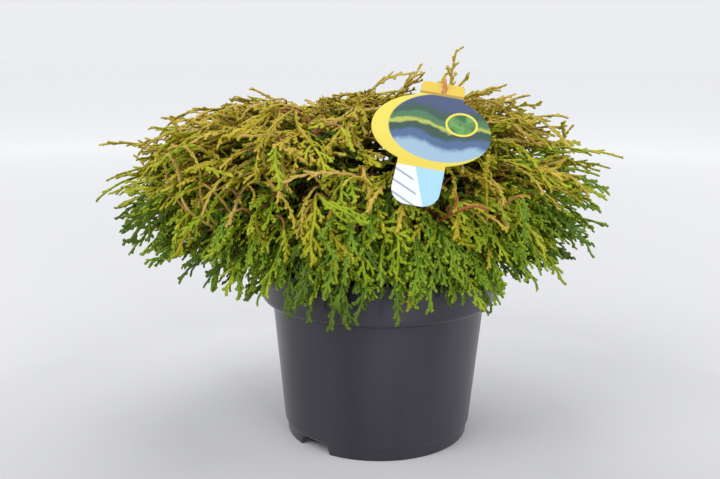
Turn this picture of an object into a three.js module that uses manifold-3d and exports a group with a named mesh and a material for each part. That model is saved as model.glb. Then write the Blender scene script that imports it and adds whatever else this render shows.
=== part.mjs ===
// Dwarf hinoki cypress in its nursery pot, with a hanging plant label.
//
// Millimetres, +Z up. The origin is the centre of the pot's flat underside, +X runs to the right
// along the crown's broad side, and -Y is the side the label faces.
//
// Every piece is one closed body: the pot, the growing medium in it, the trunk, one bough for each
// mass of foliage, the masses, and the label. A mass is a stem, the twigs that branch from it and
// the flat sprays on the twigs, fused together. It keeps to its own share of the crown: the points
// nearer to its heart than to any other mass's heart.

import * as THREE from 'three';
import { mergeVertices } from 'three/addons/utils/BufferGeometryUtils.js';
import Module from 'manifold-3d';

const wasm = await Module();
wasm.setup();

// ---------------------------------------------------------------- driving dimensions

const GAP = 0.3;                      // clearance between pieces that touch
const SLIVER = 0.25;                  // fused foliage keeps no detail finer than this
const WELD = 1e-4;                    // vertices closer than this are one vertex

const POT_SIDES = 32;
const POT_HEIGHT = 178;
const POT_FOOT_RADIUS = 91.7;         // at the ground
const POT_WAIST_RADIUS = 94.6;        // just above the foot's step
const POT_NECK_RADIUS = 106.2;        // under the collar
const POT_COLLAR_RADIUS = 117.2;      // at the foot of the collar
const POT_RIM_RADIUS = 119;
const POT_WALL = 2.2;
const POT_BASE = 3;                   // thickness of its base
const FOOT_STEP_HEIGHT = 13;
const FOOT_STEP_DROP = 1.5;           // rounding under the step
const FOOT_LIP = 0.9;                 // the step overhangs the foot by a little more than this
const FOOT_RING = 3;                  // width of the ring it stands on
const CHAMFER = 2;
const COLLAR_BOTTOM = 136.5;
const COLLAR_STEPS = [                // inwards and upwards from the foot of the collar
  [4, 2], [0.9, 5.5], [0, 10],
];
const RIM_ROUND = 3;
const CHANNEL_HEIGHT = 9;             // drainage channel under the base, inside the foot ring
const CHANNEL_INNER_RADIUS = 70;
const DRAIN_COUNT = 2;
const DRAIN_WIDTH = 38;
const DRAIN_HEIGHT = 12;
const DRAIN_SPRING = 0.35;            // share of the height at which the arch starts to close in
const DRAIN_CROWN = 0.72;             // width of the arch's top, as a share of its foot
const DRAIN_TURN = THREE.MathUtils.degToRad(229);

const SOIL_TOP = 152;
const SOIL_EASE = 0.5;                // more room than the gap where the wall turns

const TRUNK_FORK = new THREE.Vector3(-6, 6, 214);
const TRUNK_BENDS = [[-1, 1, 12], [-4, 3, 36]];   // on its way up, from the medium's middle
const TRUNK_FLARE_RADIUS = 21;
const FLARE_RUN = 0.3;                // share of the trunk's length that the flare takes
const TRUNK_RADIUS = 13.5;
const TRUNK_FORK_RADIUS = 9.5;
const TRUNK_SIDES = 10;
const TRUNK_STEPS = 6;

const CROWN_CENTRE = new THREE.Vector3(-20, 4, 232);
const CROWN_HALF_WIDTH = 252;
const CROWN_HALF_DEPTH = 163;
const CROWN_RISE = 112;               // from the widest level up to the top
const CROWN_DROP = 92;                // from the widest level down to the skirt
const CROWN_SQUARENESS = 2.5;         // exponent of the dome: 2 is an ellipsoid, more is boxier
const SKIRT_SQUARENESS = 5;           // the same for the skirt at the front and back
const CORE_OUTER = 0.68;              // outer and inner faces of the dense core, as shares of
const CORE_INNER = 0.42;              // the distance to the crown's skin
const CORE_UNEVEN = 0.09;             // how uneven its outer face is
const CORE_MARGIN = 1.2;              // from a core to the next mass's share

const SIDE_MASSES = 9;
const SIDE_HEART_REACH = 0.6;         // of the crown's half width and depth
const SIDE_HEART_HEIGHT = 222;
const UPPER_MASSES = 5;
const UPPER_HEART_REACH = 0.42;
const UPPER_HEART_HEIGHT = 296;
const TOP_HEART_HEIGHT = 300;

const BOUGH_SIDES = 5;
const BOUGH_STEPS = 3;
const BOUGH_RADIUS = 4.2;
const BOUGH_TIP_RADIUS = 2.6;
const SIDE_WHORLS = [172, 181, 190];  // heights at which the side boughs leave the trunk, in turn
const UPPER_WHORL = [202];
const KNEE_RISE = { side: 0.75, upper: 0.2, top: 0.5 };   // share of the rise made by the middle
const BOUGH_ENTRY = 8;                // how far its tip reaches into its mass's share
const POT_CLEARANCE = 2;              // between the pot's rim and the foliage over it
const LIMB_CLEARANCE = 0.6;           // between limbs and the foliage that passes them

const TWIG_SIDES = 3;
const TWIG_STEPS = 3;
const STEM_RADIUS = 3.2;
const STEM_TAPER = 0.4;
const TWIG_RADIUS = 1.8;
const TWIG_COUNT = 68;                // dealt over the whole crown
const TWIG_TAPER = 0.55;
const POLE_CROWDING = 1.2;            // more than 1 sets more twigs near the crown's top
const TWIG_LIFT = 20;                 // how far a twig arches above the straight line

const STEM_SIDES = 5;
const STEM_STEPS = 3;
const SPRIG_RUN = 0.9;                // where on its stem a long sprig's twig starts
const TWIGGED_RUN = [0.3, 0.97];      // the stretch of a stem that the other twigs leave from
const STEM_REACH = 0.4;               // of the way from a mass's heart to the crown's skin
const SKIRT_LEVEL = -0.9;             // lowest twigs, as a share of the crown's drop
const SKIRT_DIP = { end: THREE.MathUtils.degToRad(42), front: THREE.MathUtils.degToRad(78) };
const TOP_DIP = { end: THREE.MathUtils.degToRad(-20), front: THREE.MathUtils.degToRad(-8) };

const SPRAY_LENGTH = 86;
const SPRAY_SHORTEST = 60;
const SPRAY_SHARE = 0.6;              // of the distance from the stem to the tip
const SPRAY_THICKNESS = 2.6;
const SPRAY_MIDDLE = 0.4;             // of its length, from the root
const SPRAY_SAG = 0.12;               // droop of the tip
const SPRAY_RIM = [                   // along and across: shoulder, then prongs with notches between
  [0.14, 0.04], [0.42, 0.29], [0.46, 0.09], [0.77, 0.26], [0.72, 0.06],
];
const SPRAY_SHIFT = 0.05;             // of one side's prongs ahead of the other's
const SPRAY_SINK = 7;                 // how far the end spray's root reaches back along its twig
const SPRAY_TRIES = [[1, 0], [1, 0.5], [1, -0.5], [0.8, 0], [0.8, 0.8], [0.8, -0.8], [0.6, 0]];
const SPRAY_JOINT = 0.002;            // least volume that a spray shares with its twig
const SPRAY_CROSSING = 0.15;          // most volume that a spray shares with what it joins
const SPRIG_CROSSING = 6;             // the same for the end spray of a long sprig
const SPRAY_LEAN = 0.4;               // a spray rolled over leans up by this share of the roll
const SPRAY_ROLL = 0.6;
const SEED = 20417;

// The sprays of a twig: where on it, how far it turns aside and rolls, how deep its root sinks.
const TWIG_SPRAYS = [
  { at: 1, turn: [0, 0], roll: 0, sink: SPRAY_SINK, scale: [1, 1] },
  { at: 0.8, turn: [0.85, 0.85], roll: 0.1, sink: GAP, scale: [0.75, 0.95] },
  { at: 0.62, turn: [-0.9, -0.9], roll: -0.1, sink: GAP, scale: [0.75, 0.95] },
  { at: 0.45, turn: [0.3, 0.9], roll: 0.9, sink: GAP, scale: [0.7, 0.9] },
];

const SPRIGS = [                      // tips of the longest sprigs, and the dip of each in degrees
  [67, -55, 382, -58],
  [22, 10, 362, -35],
  [-45, -20, 350, -25],
  [-144, 10, 344, -22],
  [-221, 20, 314, -15],
  [-279, 0, 287, -4],
  [-273, -30, 236, 22],
  [-240, -50, 188, 40],
  [125, 20, 348, -22],
  [181, 0, 318, -12],
  [236, 0, 279, 2],
  [206, -40, 192, 40],
  [160, -92, 152, 60],
  [54, -133, 160, 66],
  [-31, -140, 143, 74],
  [-62, -158, 168, 66],
  [-150, -120, 158, 58],
  [-60, 160, 160, 66],
  [60, 158, 152, 66],
];

const LABEL_THICKNESS = 0.9;
const LABEL_CLEARANCE = 1.5;          // of the foliage from the label
const LABEL_VIEW = 60;                // the space before its face that stays free
const LABEL_OVAL_STEPS = 16;          // in each half of the oval
const LABEL_CORNER_STEPS = 2;
const LABEL_CENTRE = new THREE.Vector3(44.3, -100, 312.7);
const LABEL_SLOPE = THREE.MathUtils.degToRad(52);   // of the label's face, from level
const LABEL_TURN = THREE.MathUtils.degToRad(-11);   // within its own plane
const LABEL_HALF_WIDTH = 52;
const LABEL_HALF_HEIGHT = 36.5;
const TAB_CENTRE = 3;
const TAB_HALF_WIDTH = 19.5;
const TAB_TOP = 50;
const TAB_CORNER = 6;
const LABEL_OVERLAP = 15;             // how near the tab and tongue reach to the oval's middle
const TONGUE_CENTRE = -2;
const TONGUE_HALF_WIDTH = 20.5;
const TONGUE_BOTTOM = -76;
const TONGUE_CORNER = 18;
const SLOT_CENTRE = new THREE.Vector2(4.2, 43);
const SLOT_HALF_WIDTH = 2.2;
const SLOT_LENGTHENING = 2.4;         // the slot is this much longer than wide
const HOOK_RISE = new THREE.Vector3(0.04, -0.26, 0.96);   // way of the twig that the label hangs on
const HOOK_ROOT = 80;                 // how far it starts below the label's slot
const HOOK_SIDES = 6;
const HOOK_END = 11;                  // how far it stands out of the slot

const UP = new THREE.Vector3(0, 0, 1);
const TINY = 1e-9;
const TURN = 2 * Math.PI;
const GOLDEN_ANGLE = Math.PI * (3 - Math.sqrt(5));

// ---------------------------------------------------------------- solids and geometries

// The closed solid of a geometry: shared vertices merged, triangles of no area dropped.
function solidOf(geometry) {
  const bare = new THREE.BufferGeometry();
  bare.setAttribute('position', geometry.getAttribute('position').clone());
  bare.setIndex(geometry.index ? geometry.index.clone() : null);
  const merged = mergeVertices(bare, WELD);
  const corners = merged.index.array;
  const kept = [];
  for (let i = 0; i < corners.length; i += 3) {
    const [a, b, c] = [corners[i], corners[i + 1], corners[i + 2]];
    if (a !== b && b !== c && c !== a) kept.push(a, b, c);
  }
  return new wasm.Manifold(new wasm.Mesh({
    numProp: 3,
    vertProperties: new Float32Array(merged.getAttribute('position').array),
    triVerts: new Uint32Array(kept),
  }));
}

function geometryOf(solid) {
  const mesh = solid.getMesh();
  const geometry = new THREE.BufferGeometry();
  geometry.setAttribute('position', new THREE.BufferAttribute(mesh.vertProperties, 3));
  geometry.setIndex(new THREE.BufferAttribute(mesh.triVerts, 1));
  geometry.computeVertexNormals();
  return geometry;
}

function fuse(solids) {
  return solids.reduce((whole, next) => whole.add(next));
}

// The largest body of a fused solid: a hollow that fusing seals is filled, a loose scrap dropped.
function wholeBody(solid) {
  return solid.decompose().reduce((largest, body) => (body.volume() > largest.volume() ? body : largest));
}

// A profile of [radius, height] pairs turned about the Z axis.
function turned(profile, sides) {
  const points = profile.map(([radius, height]) => new THREE.Vector2(radius, height));
  return solidOf(new THREE.LatheGeometry(points, sides).rotateX(Math.PI / 2));
}

// A tube along a curve whose radius is a function of the distance run, from 0 to 1.
function taperedTube(curve, radiusAt, sides, steps) {
  const tube = new THREE.CylinderGeometry(1, 1, 1, sides, steps);
  const frames = curve.computeFrenetFrames(steps, false);
  const position = tube.getAttribute('position');
  const corner = new THREE.Vector3();
  for (let i = 0; i < position.count; i += 1) {
    corner.fromBufferAttribute(position, i);
    const run = corner.y + 0.5;
    const step = Math.round(run * steps);
    const radius = radiusAt(run);
    const place = curve.getPointAt(run);
    place.addScaledVector(frames.normals[step], corner.x * radius);
    place.addScaledVector(frames.binormals[step], -corner.z * radius);
    position.setXYZ(i, place.x, place.y, place.z);
  }
  return solidOf(tube);
}

// ---------------------------------------------------------------- chance

// A small seeded generator, so that every build grows the same plant.
function seededChance(seed) {
  let state = seed;
  return () => {
    state = (state + 0x6d2b79f5) | 0;
    let mixed = Math.imul(state ^ (state >>> 15), 1 | state);
    mixed = (mixed + Math.imul(mixed ^ (mixed >>> 7), 61 | mixed)) ^ mixed;
    return ((mixed ^ (mixed >>> 14)) >>> 0) / 4294967296;
  };
}

const chance = seededChance(SEED);
const between = (low, high) => low + (high - low) * chance();

// ---------------------------------------------------------------- pot and growing medium

const collarTop = POT_HEIGHT - RIM_ROUND;
const baseTop = CHANNEL_HEIGHT + POT_BASE;
const collarFoot = COLLAR_BOTTOM + COLLAR_STEPS[2][1];

function potSolid() {
  const collar = COLLAR_STEPS.map(([inwards, upwards]) => (
    [POT_COLLAR_RADIUS - inwards, COLLAR_BOTTOM + upwards]));
  const shell = turned([
    [0, 0],
    [CHANNEL_INNER_RADIUS, 0],
    [CHANNEL_INNER_RADIUS + CHAMFER, CHANNEL_HEIGHT],
    [POT_FOOT_RADIUS - FOOT_RING - CHAMFER, CHANNEL_HEIGHT],
    [POT_FOOT_RADIUS - FOOT_RING, 0],
    [POT_FOOT_RADIUS, 0],
    [POT_FOOT_RADIUS + FOOT_LIP, FOOT_STEP_HEIGHT - FOOT_STEP_DROP],
    [POT_WAIST_RADIUS, FOOT_STEP_HEIGHT],
    [POT_NECK_RADIUS, COLLAR_BOTTOM],
    ...collar,
    [POT_RIM_RADIUS, collarTop],
    [POT_RIM_RADIUS - RIM_ROUND / 3, POT_HEIGHT],
    [POT_RIM_RADIUS - RIM_ROUND, POT_HEIGHT],
    [POT_RIM_RADIUS - RIM_ROUND - POT_WALL / 2, collarTop],
    [POT_COLLAR_RADIUS - POT_WALL, collarFoot],
    [POT_NECK_RADIUS - POT_WALL, COLLAR_BOTTOM + POT_BASE],
    [POT_WAIST_RADIUS - POT_WALL, baseTop + CHAMFER],
    [POT_WAIST_RADIUS - POT_WALL - CHAMFER, baseTop],
    [0, baseTop],
  ], POT_SIDES);
  return drainArches().reduce((pot, arch) => pot.subtract(arch), shell);
}

// Arched notches through the foot ring, where water drains from the channel.
function drainArches() {
  const half = DRAIN_WIDTH / 2;
  const [spring, crown] = [DRAIN_HEIGHT * DRAIN_SPRING, half * DRAIN_CROWN];
  const outline = new THREE.Shape();
  outline.moveTo(-half, -1);
  outline.lineTo(half, -1);
  outline.lineTo(half, spring);
  outline.lineTo(crown, DRAIN_HEIGHT);
  outline.lineTo(-crown, DRAIN_HEIGHT);
  outline.lineTo(-half, spring);
  outline.closePath();
  const depth = POT_WAIST_RADIUS - CHANNEL_INNER_RADIUS;
  const arches = [];
  for (let k = 0; k < DRAIN_COUNT; k += 1) {
    const arch = new THREE.ExtrudeGeometry(outline, { depth, bevelEnabled: false });
    arch.rotateX(Math.PI / 2).rotateZ(Math.PI / 2);
    arch.translate(CHANNEL_INNER_RADIUS + 4 * CHAMFER, 0, 0);
    arch.rotateZ(DRAIN_TURN + (TURN * k) / DRAIN_COUNT);
    arches.push(solidOf(arch));
  }
  return arches;
}

// The medium fills the pot to just under the collar's top, clear of the wall by the gap.
function soilSolid() {
  const clear = POT_WALL + GAP + SOIL_EASE;
  return turned([
    [0, baseTop + GAP],
    [POT_WAIST_RADIUS - clear - 2 * CHAMFER, baseTop + GAP],
    [POT_NECK_RADIUS - clear, COLLAR_BOTTOM + POT_BASE + GAP],
    [POT_COLLAR_RADIUS - clear, collarFoot - GAP],
    [POT_COLLAR_RADIUS - clear, SOIL_TOP - CHAMFER],
    [0, SOIL_TOP],
  ], POT_SIDES);
}

// ---------------------------------------------------------------- trunk and boughs

const trunkFoot = new THREE.Vector3(0, 0, SOIL_TOP + GAP);
const trunkCurve = new THREE.CatmullRomCurve3([
  trunkFoot,
  ...TRUNK_BENDS.map(([x, y, rise]) => new THREE.Vector3(x, y, SOIL_TOP + rise)),
  TRUNK_FORK,
]);

// Wide at the root flare, then tapering evenly to the fork.
function trunkRadius(run) {
  const flare = (TRUNK_FLARE_RADIUS - TRUNK_RADIUS) * Math.max(0, 1 - run / FLARE_RUN) ** 2;
  return TRUNK_RADIUS + (TRUNK_FORK_RADIUS - TRUNK_RADIUS) * run + flare;
}

// The foot is trimmed level with the medium.
function trunkSolid() {
  const width = 4 * TRUNK_FLARE_RADIUS;
  const below = new THREE.BoxGeometry(width, width, width);
  below.translate(0, 0, trunkFoot.z - width / 2);
  return trunkTube(0).subtract(solidOf(below));
}

// Every mass has a name, a heart that its share of the crown lies around, and the height at
// which its bough leaves the trunk.
function massHearts() {
  const hearts = [];
  const ring = (name, count, reach, height, whorl, first) => {
    for (let k = 0; k < count; k += 1) {
      const azimuth = first + (TURN * k) / count;
      const x = CROWN_CENTRE.x + CROWN_HALF_WIDTH * reach * Math.cos(azimuth);
      const y = CROWN_CENTRE.y + CROWN_HALF_DEPTH * reach * Math.sin(azimuth);
      const heart = new THREE.Vector3(x, y, height);
      hearts.push({ name: `${name}_${k + 1}`, ring: name, heart, leaves: whorl[k % whorl.length] });
    }
  };
  ring('side', SIDE_MASSES, SIDE_HEART_REACH, SIDE_HEART_HEIGHT, SIDE_WHORLS, -Math.PI / 2);
  ring('upper', UPPER_MASSES, UPPER_HEART_REACH, UPPER_HEART_HEIGHT, UPPER_WHORL, Math.PI / UPPER_MASSES);
  const heart = new THREE.Vector3(CROWN_CENTRE.x, CROWN_CENTRE.y, TOP_HEART_HEIGHT);
  hearts.push({ name: 'top', ring: 'top', heart, leaves: TRUNK_FORK.z });
  return hearts;
}

const masses = massHearts();

// How deep a point lies inside a mass's share, measured to the nearest face shared with another.
function depthInShare(point, mass) {
  let depth = Infinity;
  for (const other of masses) {
    if (other !== mass) {
      const apart = other.heart.clone().sub(mass.heart);
      const middle = mass.heart.clone().add(other.heart).multiplyScalar(0.5);
      depth = Math.min(depth, middle.sub(point).dot(apart.normalize()));
    }
  }
  return depth;
}

// A bough starts inside the trunk, turns up towards its mass and ends where it enters its share.
function boughCurve(mass) {
  const root = trunkCurve.getPointAt((mass.leaves - trunkFoot.z) / (TRUNK_FORK.z - trunkFoot.z));
  if (mass.ring === 'top') root.z += GAP;
  const tip = root.clone();
  for (let share = 0.5; depthInShare(tip, mass) < BOUGH_ENTRY; share += 0.02) {
    tip.lerpVectors(root, mass.heart, share);
  }
  const knee = root.clone().lerp(tip, 0.55);
  knee.z = THREE.MathUtils.lerp(root.z, tip.z, KNEE_RISE[mass.ring]);
  return new THREE.QuadraticBezierCurve3(root, knee, tip);
}

// The middle bough carries on the trunk's own taper, and the others are slimmer.
function boughTube(mass, grow) {
  const base = mass.ring === 'top' ? TRUNK_FORK_RADIUS - 1 : BOUGH_RADIUS;
  const radiusAt = (run) => base + (BOUGH_TIP_RADIUS - base) * run + grow;
  return taperedTube(mass.bough, radiusAt, BOUGH_SIDES, BOUGH_STEPS);
}

function trunkTube(grow) {
  return taperedTube(trunkCurve, (run) => trunkRadius(run) + grow, TRUNK_SIDES, TRUNK_STEPS);
}

// A bough's root is shaped to the trunk's side, clear of it by the gap.
function boughSolid(mass) {
  return wholeBody(boughTube(mass, 0).subtract(trunkTube(GAP)));
}

for (const mass of masses) mass.bough = boughCurve(mass);

// ---------------------------------------------------------------- label

const labelRight = new THREE.Vector3(1, 0, 0);
const labelUp = new THREE.Vector3(0, Math.cos(LABEL_SLOPE), Math.sin(LABEL_SLOPE));
const labelFace = labelRight.clone().cross(labelUp);
const labelFrame = new THREE.Matrix4().makeBasis(labelRight, labelUp, labelFace)
  .multiply(new THREE.Matrix4().makeRotationZ(LABEL_TURN))
  .setPosition(LABEL_CENTRE);

// Oval card with a tab above and a round-cornered tongue below, grown outwards by `grow`.
function labelShape(grow) {
  const oval = new THREE.Shape();
  oval.absellipse(0, 0, LABEL_HALF_WIDTH + grow, LABEL_HALF_HEIGHT + grow, 0, TURN);
  const [tabHalf, tongueHalf] = [TAB_HALF_WIDTH + grow, TONGUE_HALF_WIDTH + grow];
  const tab = roundedBox(TAB_CENTRE, tabHalf, LABEL_OVERLAP, TAB_TOP + grow, TAB_CORNER);
  const tongue = roundedBox(TONGUE_CENTRE, tongueHalf, TONGUE_BOTTOM - grow, -LABEL_OVERLAP, TONGUE_CORNER);
  return [oval, tab, tongue];
}

function roundedBox(centre, halfWidth, bottom, top, corner) {
  const box = new THREE.Shape();
  const [left, right] = [centre - halfWidth, centre + halfWidth];
  box.moveTo(left, bottom + corner);
  box.quadraticCurveTo(left, bottom, left + corner, bottom);
  box.lineTo(right - corner, bottom);
  box.quadraticCurveTo(right, bottom, right, bottom + corner);
  box.lineTo(right, top - corner);
  box.quadraticCurveTo(right, top, right - corner, top);
  box.lineTo(left + corner, top);
  box.quadraticCurveTo(left, top, left, top - corner);
  box.closePath();
  return box;
}

function labelPlate(grow, back, front) {
  const layers = labelShape(grow).map((shape, i) => {
    const plate = new THREE.ExtrudeGeometry(shape, {
      depth: front - back,
      bevelEnabled: false,
      curveSegments: i === 0 ? LABEL_OVAL_STEPS : LABEL_CORNER_STEPS,
    });
    plate.translate(0, 0, back).applyMatrix4(labelFrame);
    return solidOf(plate);
  });
  return fuse(layers);
}

function labelSolid() {
  const width = 2 * (SLOT_HALF_WIDTH + GAP);
  const slot = new THREE.BoxGeometry(width, width + SLOT_LENGTHENING, width);
  slot.translate(SLOT_CENTRE.x, SLOT_CENTRE.y, 0).applyMatrix4(labelFrame);
  return labelPlate(0, -LABEL_THICKNESS / 2, LABEL_THICKNESS / 2).subtract(solidOf(slot));
}

// ---------------------------------------------------------------- what foliage keeps clear of

// The pot with the space inside its rim, the limbs, and the label with the space before its face.
function keepOutSolid() {
  const [radius, top] = [POT_RIM_RADIUS + POT_CLEARANCE, POT_HEIGHT + POT_CLEARANCE];
  const potSpace = turned([[0, 0], [radius, 0], [radius, top], [0, top]], POT_SIDES);
  const boughSpaces = masses.map((mass) => boughTube(mass, LIMB_CLEARANCE));
  const labelSpace = labelPlate(LABEL_CLEARANCE, -LABEL_CLEARANCE, LABEL_VIEW);
  return fuse([potSpace, trunkTube(LIMB_CLEARANCE), labelSpace, ...boughSpaces]);
}

const keepOut = keepOutSolid();

// ---------------------------------------------------------------- foliage

// How far a direction faces the front or back: 1 there, 0 at the crown's ends.
function facing(direction) {
  return direction.y ** 2 / (direction.x ** 2 + direction.y ** 2 + TINY);
}

// Point on the crown's skin in a direction given on the unit sphere. The dome is a superellipsoid,
// and below its widest level it is squarer at the front and back, where it hangs over the rim.
function skinPoint(direction) {
  const below = direction.z < 0;
  const skirt = THREE.MathUtils.lerp(CROWN_SQUARENESS, SKIRT_SQUARENESS, facing(direction));
  const power = below ? skirt : CROWN_SQUARENESS;
  const across = Math.hypot(direction.x, direction.y) ** power;
  const size = (across + Math.abs(direction.z) ** power) ** (-1 / power);
  return new THREE.Vector3(
    CROWN_CENTRE.x + direction.x * CROWN_HALF_WIDTH * size,
    CROWN_CENTRE.y + direction.y * CROWN_HALF_DEPTH * size,
    CROWN_CENTRE.z + direction.z * (below ? CROWN_DROP : CROWN_RISE) * size,
  );
}

// The crown's shape drawn in to a share of the skin's distance, its face made uneven.
function domeSolid(share, uneven, detail) {
  const ball = solidOf(new THREE.IcosahedronGeometry(1, detail)).getMesh();
  const corner = new THREE.Vector3();
  for (let i = 0; i < ball.vertProperties.length; i += 3) {
    const direction = corner.fromArray(ball.vertProperties, i).normalize();
    const place = CROWN_CENTRE.clone().lerp(skinPoint(direction), share + between(-uneven, uneven));
    place.toArray(ball.vertProperties, i);
  }
  return new wasm.Manifold(ball);
}

const denseShell = domeSolid(CORE_OUTER, CORE_UNEVEN, 2)
  .subtract(domeSolid(CORE_INNER, 0, 0))
  .subtract(keepOut);

// The smaller core of a dense mass: its share of the shell, a little inside the share's faces.
function coreSolid(mass) {
  const others = masses.filter((other) => other !== mass);
  return wholeBody(others.reduce((core, other) => {
    const inward = mass.heart.clone().sub(other.heart).normalize();
    const middle = mass.heart.clone().add(other.heart).multiplyScalar(0.5);
    return core.trimByPlane(inward.toArray(), middle.dot(inward) + CORE_MARGIN);
  }, denseShell));
}

// Directions spread evenly from the skirt to the top by the golden angle.
function twigDirections() {
  const directions = [];
  for (let k = 0; k < TWIG_COUNT; k += 1) {
    const t = SKIRT_LEVEL + ((1 - SKIRT_LEVEL) * (k + 0.5)) / TWIG_COUNT;
    const z = Math.sign(t) * (1 - (1 - Math.abs(t)) ** POLE_CROWDING);
    const ring = Math.sqrt(1 - z * z);
    const azimuth = k * GOLDEN_ANGLE;
    directions.push(new THREE.Vector3(ring * Math.cos(azimuth), ring * Math.sin(azimuth), z));
  }
  return directions;
}

// Sprays rise a little at the top of the crown, reach out at its ends, and hang at the skirt,
// most of all at the front and back.
function sprayHeading(direction) {
  const rise = THREE.MathUtils.clamp((direction.z - SKIRT_LEVEL) / (1 - SKIRT_LEVEL), 0, 1);
  const front = facing(direction);
  const skirt = THREE.MathUtils.lerp(SKIRT_DIP.end, SKIRT_DIP.front, front);
  const top = THREE.MathUtils.lerp(TOP_DIP.end, TOP_DIP.front, front);
  const dip = THREE.MathUtils.lerp(skirt, top, rise);
  return dipped(direction, dip);
}

// The way outward in a direction, turned down by an angle.
function dipped(direction, dip) {
  const outward = new THREE.Vector3(direction.x, direction.y, 0).normalize();
  return outward.multiplyScalar(Math.cos(dip)).addScaledVector(UP, -Math.sin(dip));
}

function behind(point, heading) {
  return point.clone().addScaledVector(heading, -0.5 * SPRAY_LENGTH);
}

// One flat toothed spray: prongs that point forward, with notches between, round a raised middle.
// `along` runs from the root to the tip, `across` to its side, `face` out of its flat.
function spraySolid(root, along, across, length) {
  const face = along.clone().cross(across);
  const corner = (u, v) => root.clone()
    .addScaledVector(along, u * length)
    .addScaledVector(across, v * length)
    .addScaledVector(face, -SPRAY_SAG * u * u * length);
  const left = SPRAY_RIM.map(([u, v]) => corner(u, v));
  const right = SPRAY_RIM.map(([u, v]) => corner(u - SPRAY_SHIFT, -v));
  const rim = [corner(0, 0), ...right, corner(1, 0), ...left.reverse()];
  const middle = corner(SPRAY_MIDDLE, 0);
  const top = middle.clone().addScaledVector(face, SPRAY_THICKNESS / 2);
  const bottom = middle.clone().addScaledVector(face, -SPRAY_THICKNESS / 2);
  const corners = [...rim, top, bottom];
  const faces = [];
  rim.forEach((_, i) => {
    const next = (i + 1) % rim.length;
    faces.push(i, next, rim.length);
    faces.push(next, i, rim.length + 1);
  });
  const geometry = new THREE.BufferGeometry().setFromPoints(corners).setIndex(faces);
  return { solid: solidOf(geometry), corners };
}

function twigPiece(curve) {
  const solid = taperedTube(curve, (run) => TWIG_RADIUS * (1 - TWIG_TAPER * run), TWIG_SIDES, TWIG_STEPS);
  return { solid, corners: curve.getSpacedPoints(TWIG_STEPS) };
}

// A point on the middle of a twig, whose tube runs straight from each of its corners to the next.
function pointOnTwig(twig, run) {
  const step = Math.min(Math.floor(run * TWIG_STEPS), TWIG_STEPS - 1);
  return twig.corners[step].clone().lerp(twig.corners[step + 1], run * TWIG_STEPS - step);
}

// A twig or spray stays only where it keeps to its mass's share and clear of everything else.
function fits(piece, mass, margin) {
  const inside = piece.corners.every((corner) => depthInShare(corner, mass) > margin);
  return inside && piece.solid.intersect(keepOut).isEmpty();
}

// A spray joins its twig at the root, and isn't driven through the sprays already there.
function standsFree(piece, mass, crossing) {
  const shared = piece.solid.intersect(mass.solid).volume();
  return shared > SPRAY_JOINT && shared < crossing;
}

function shareOf(point) {
  return masses.reduce((nearest, mass) => (
    mass.heart.distanceTo(point) < nearest.heart.distanceTo(point) ? mass : nearest));
}

// The first spray that fits at a place on a twig, tried at full size and then smaller or rolled.
function fittingSpray(mass, twig, spray, heading, across) {
  const face = heading.clone().cross(across);
  for (const [scale, roll] of SPRAY_TRIES) {
    const along = heading.clone().applyAxisAngle(face, spray.turn);
    const side = across.clone().applyAxisAngle(face, spray.turn);
    along.applyAxisAngle(side, spray.roll + SPRAY_LEAN * roll);
    side.applyAxisAngle(along, roll);
    const root = pointOnTwig(twig, spray.at).addScaledVector(along, -spray.sink);
    const piece = spraySolid(root, along, side, spray.length * scale);
    if (fits(piece, mass, GAP) && standsFree(piece, mass, spray.crossing)) return piece;
  }
  return null;
}

// One twig with its sprays: one carries it on, two stand out sideways and one hangs below.
function growTwig(mass, start, tip, heading, endCrossing) {
  const roll = between(-SPRAY_ROLL, SPRAY_ROLL);
  const across = UP.clone().cross(heading).normalize().applyAxisAngle(heading, roll);
  const room = SPRAY_SHARE * start.distanceTo(tip);
  const length = THREE.MathUtils.clamp(room, SPRAY_SHORTEST, SPRAY_LENGTH);
  const sag = across.clone().cross(heading).multiplyScalar(-SPRAY_SAG * length);
  const end = tip.clone().addScaledVector(heading, SPRAY_SINK - length).add(sag);
  const middle = start.clone().lerp(end, 0.5).addScaledVector(UP, between(TWIG_LIFT / 2, TWIG_LIFT));
  const curve = new THREE.QuadraticBezierCurve3(start, middle, end);
  const twig = twigPiece(curve);
  if (!fits(twig, mass, GAP + TWIG_RADIUS)) return;
  const grown = mass.solid;
  mass.solid = mass.solid.add(twig.solid);
  let kept = 0;
  for (const kind of TWIG_SPRAYS) {
    const crossing = kind.at === 1 ? endCrossing : SPRAY_CROSSING;
    const size = length * between(...kind.scale);
    const spray = { ...kind, turn: between(...kind.turn), length: size, crossing };
    const piece = fittingSpray(mass, twig, spray, heading, across);
    if (piece) {
      mass.solid = mass.solid.add(piece.solid);
      kept += 1;
    }
  }
  if (kept === 0) mass.solid = grown;
}

// The straight twig that the label hangs on: it ends just beyond the label's slot and fills it.
function hookSolid() {
  const rise = HOOK_RISE.clone().normalize();
  const slot = new THREE.Vector3(SLOT_CENTRE.x, SLOT_CENTRE.y, 0).applyMatrix4(labelFrame);
  const root = slot.clone().addScaledVector(rise, -HOOK_ROOT);
  const line = new THREE.LineCurve3(root, slot.addScaledVector(rise, HOOK_END));
  return taperedTube(line, () => SLOT_HALF_WIDTH, HOOK_SIDES, 1);
}

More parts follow.
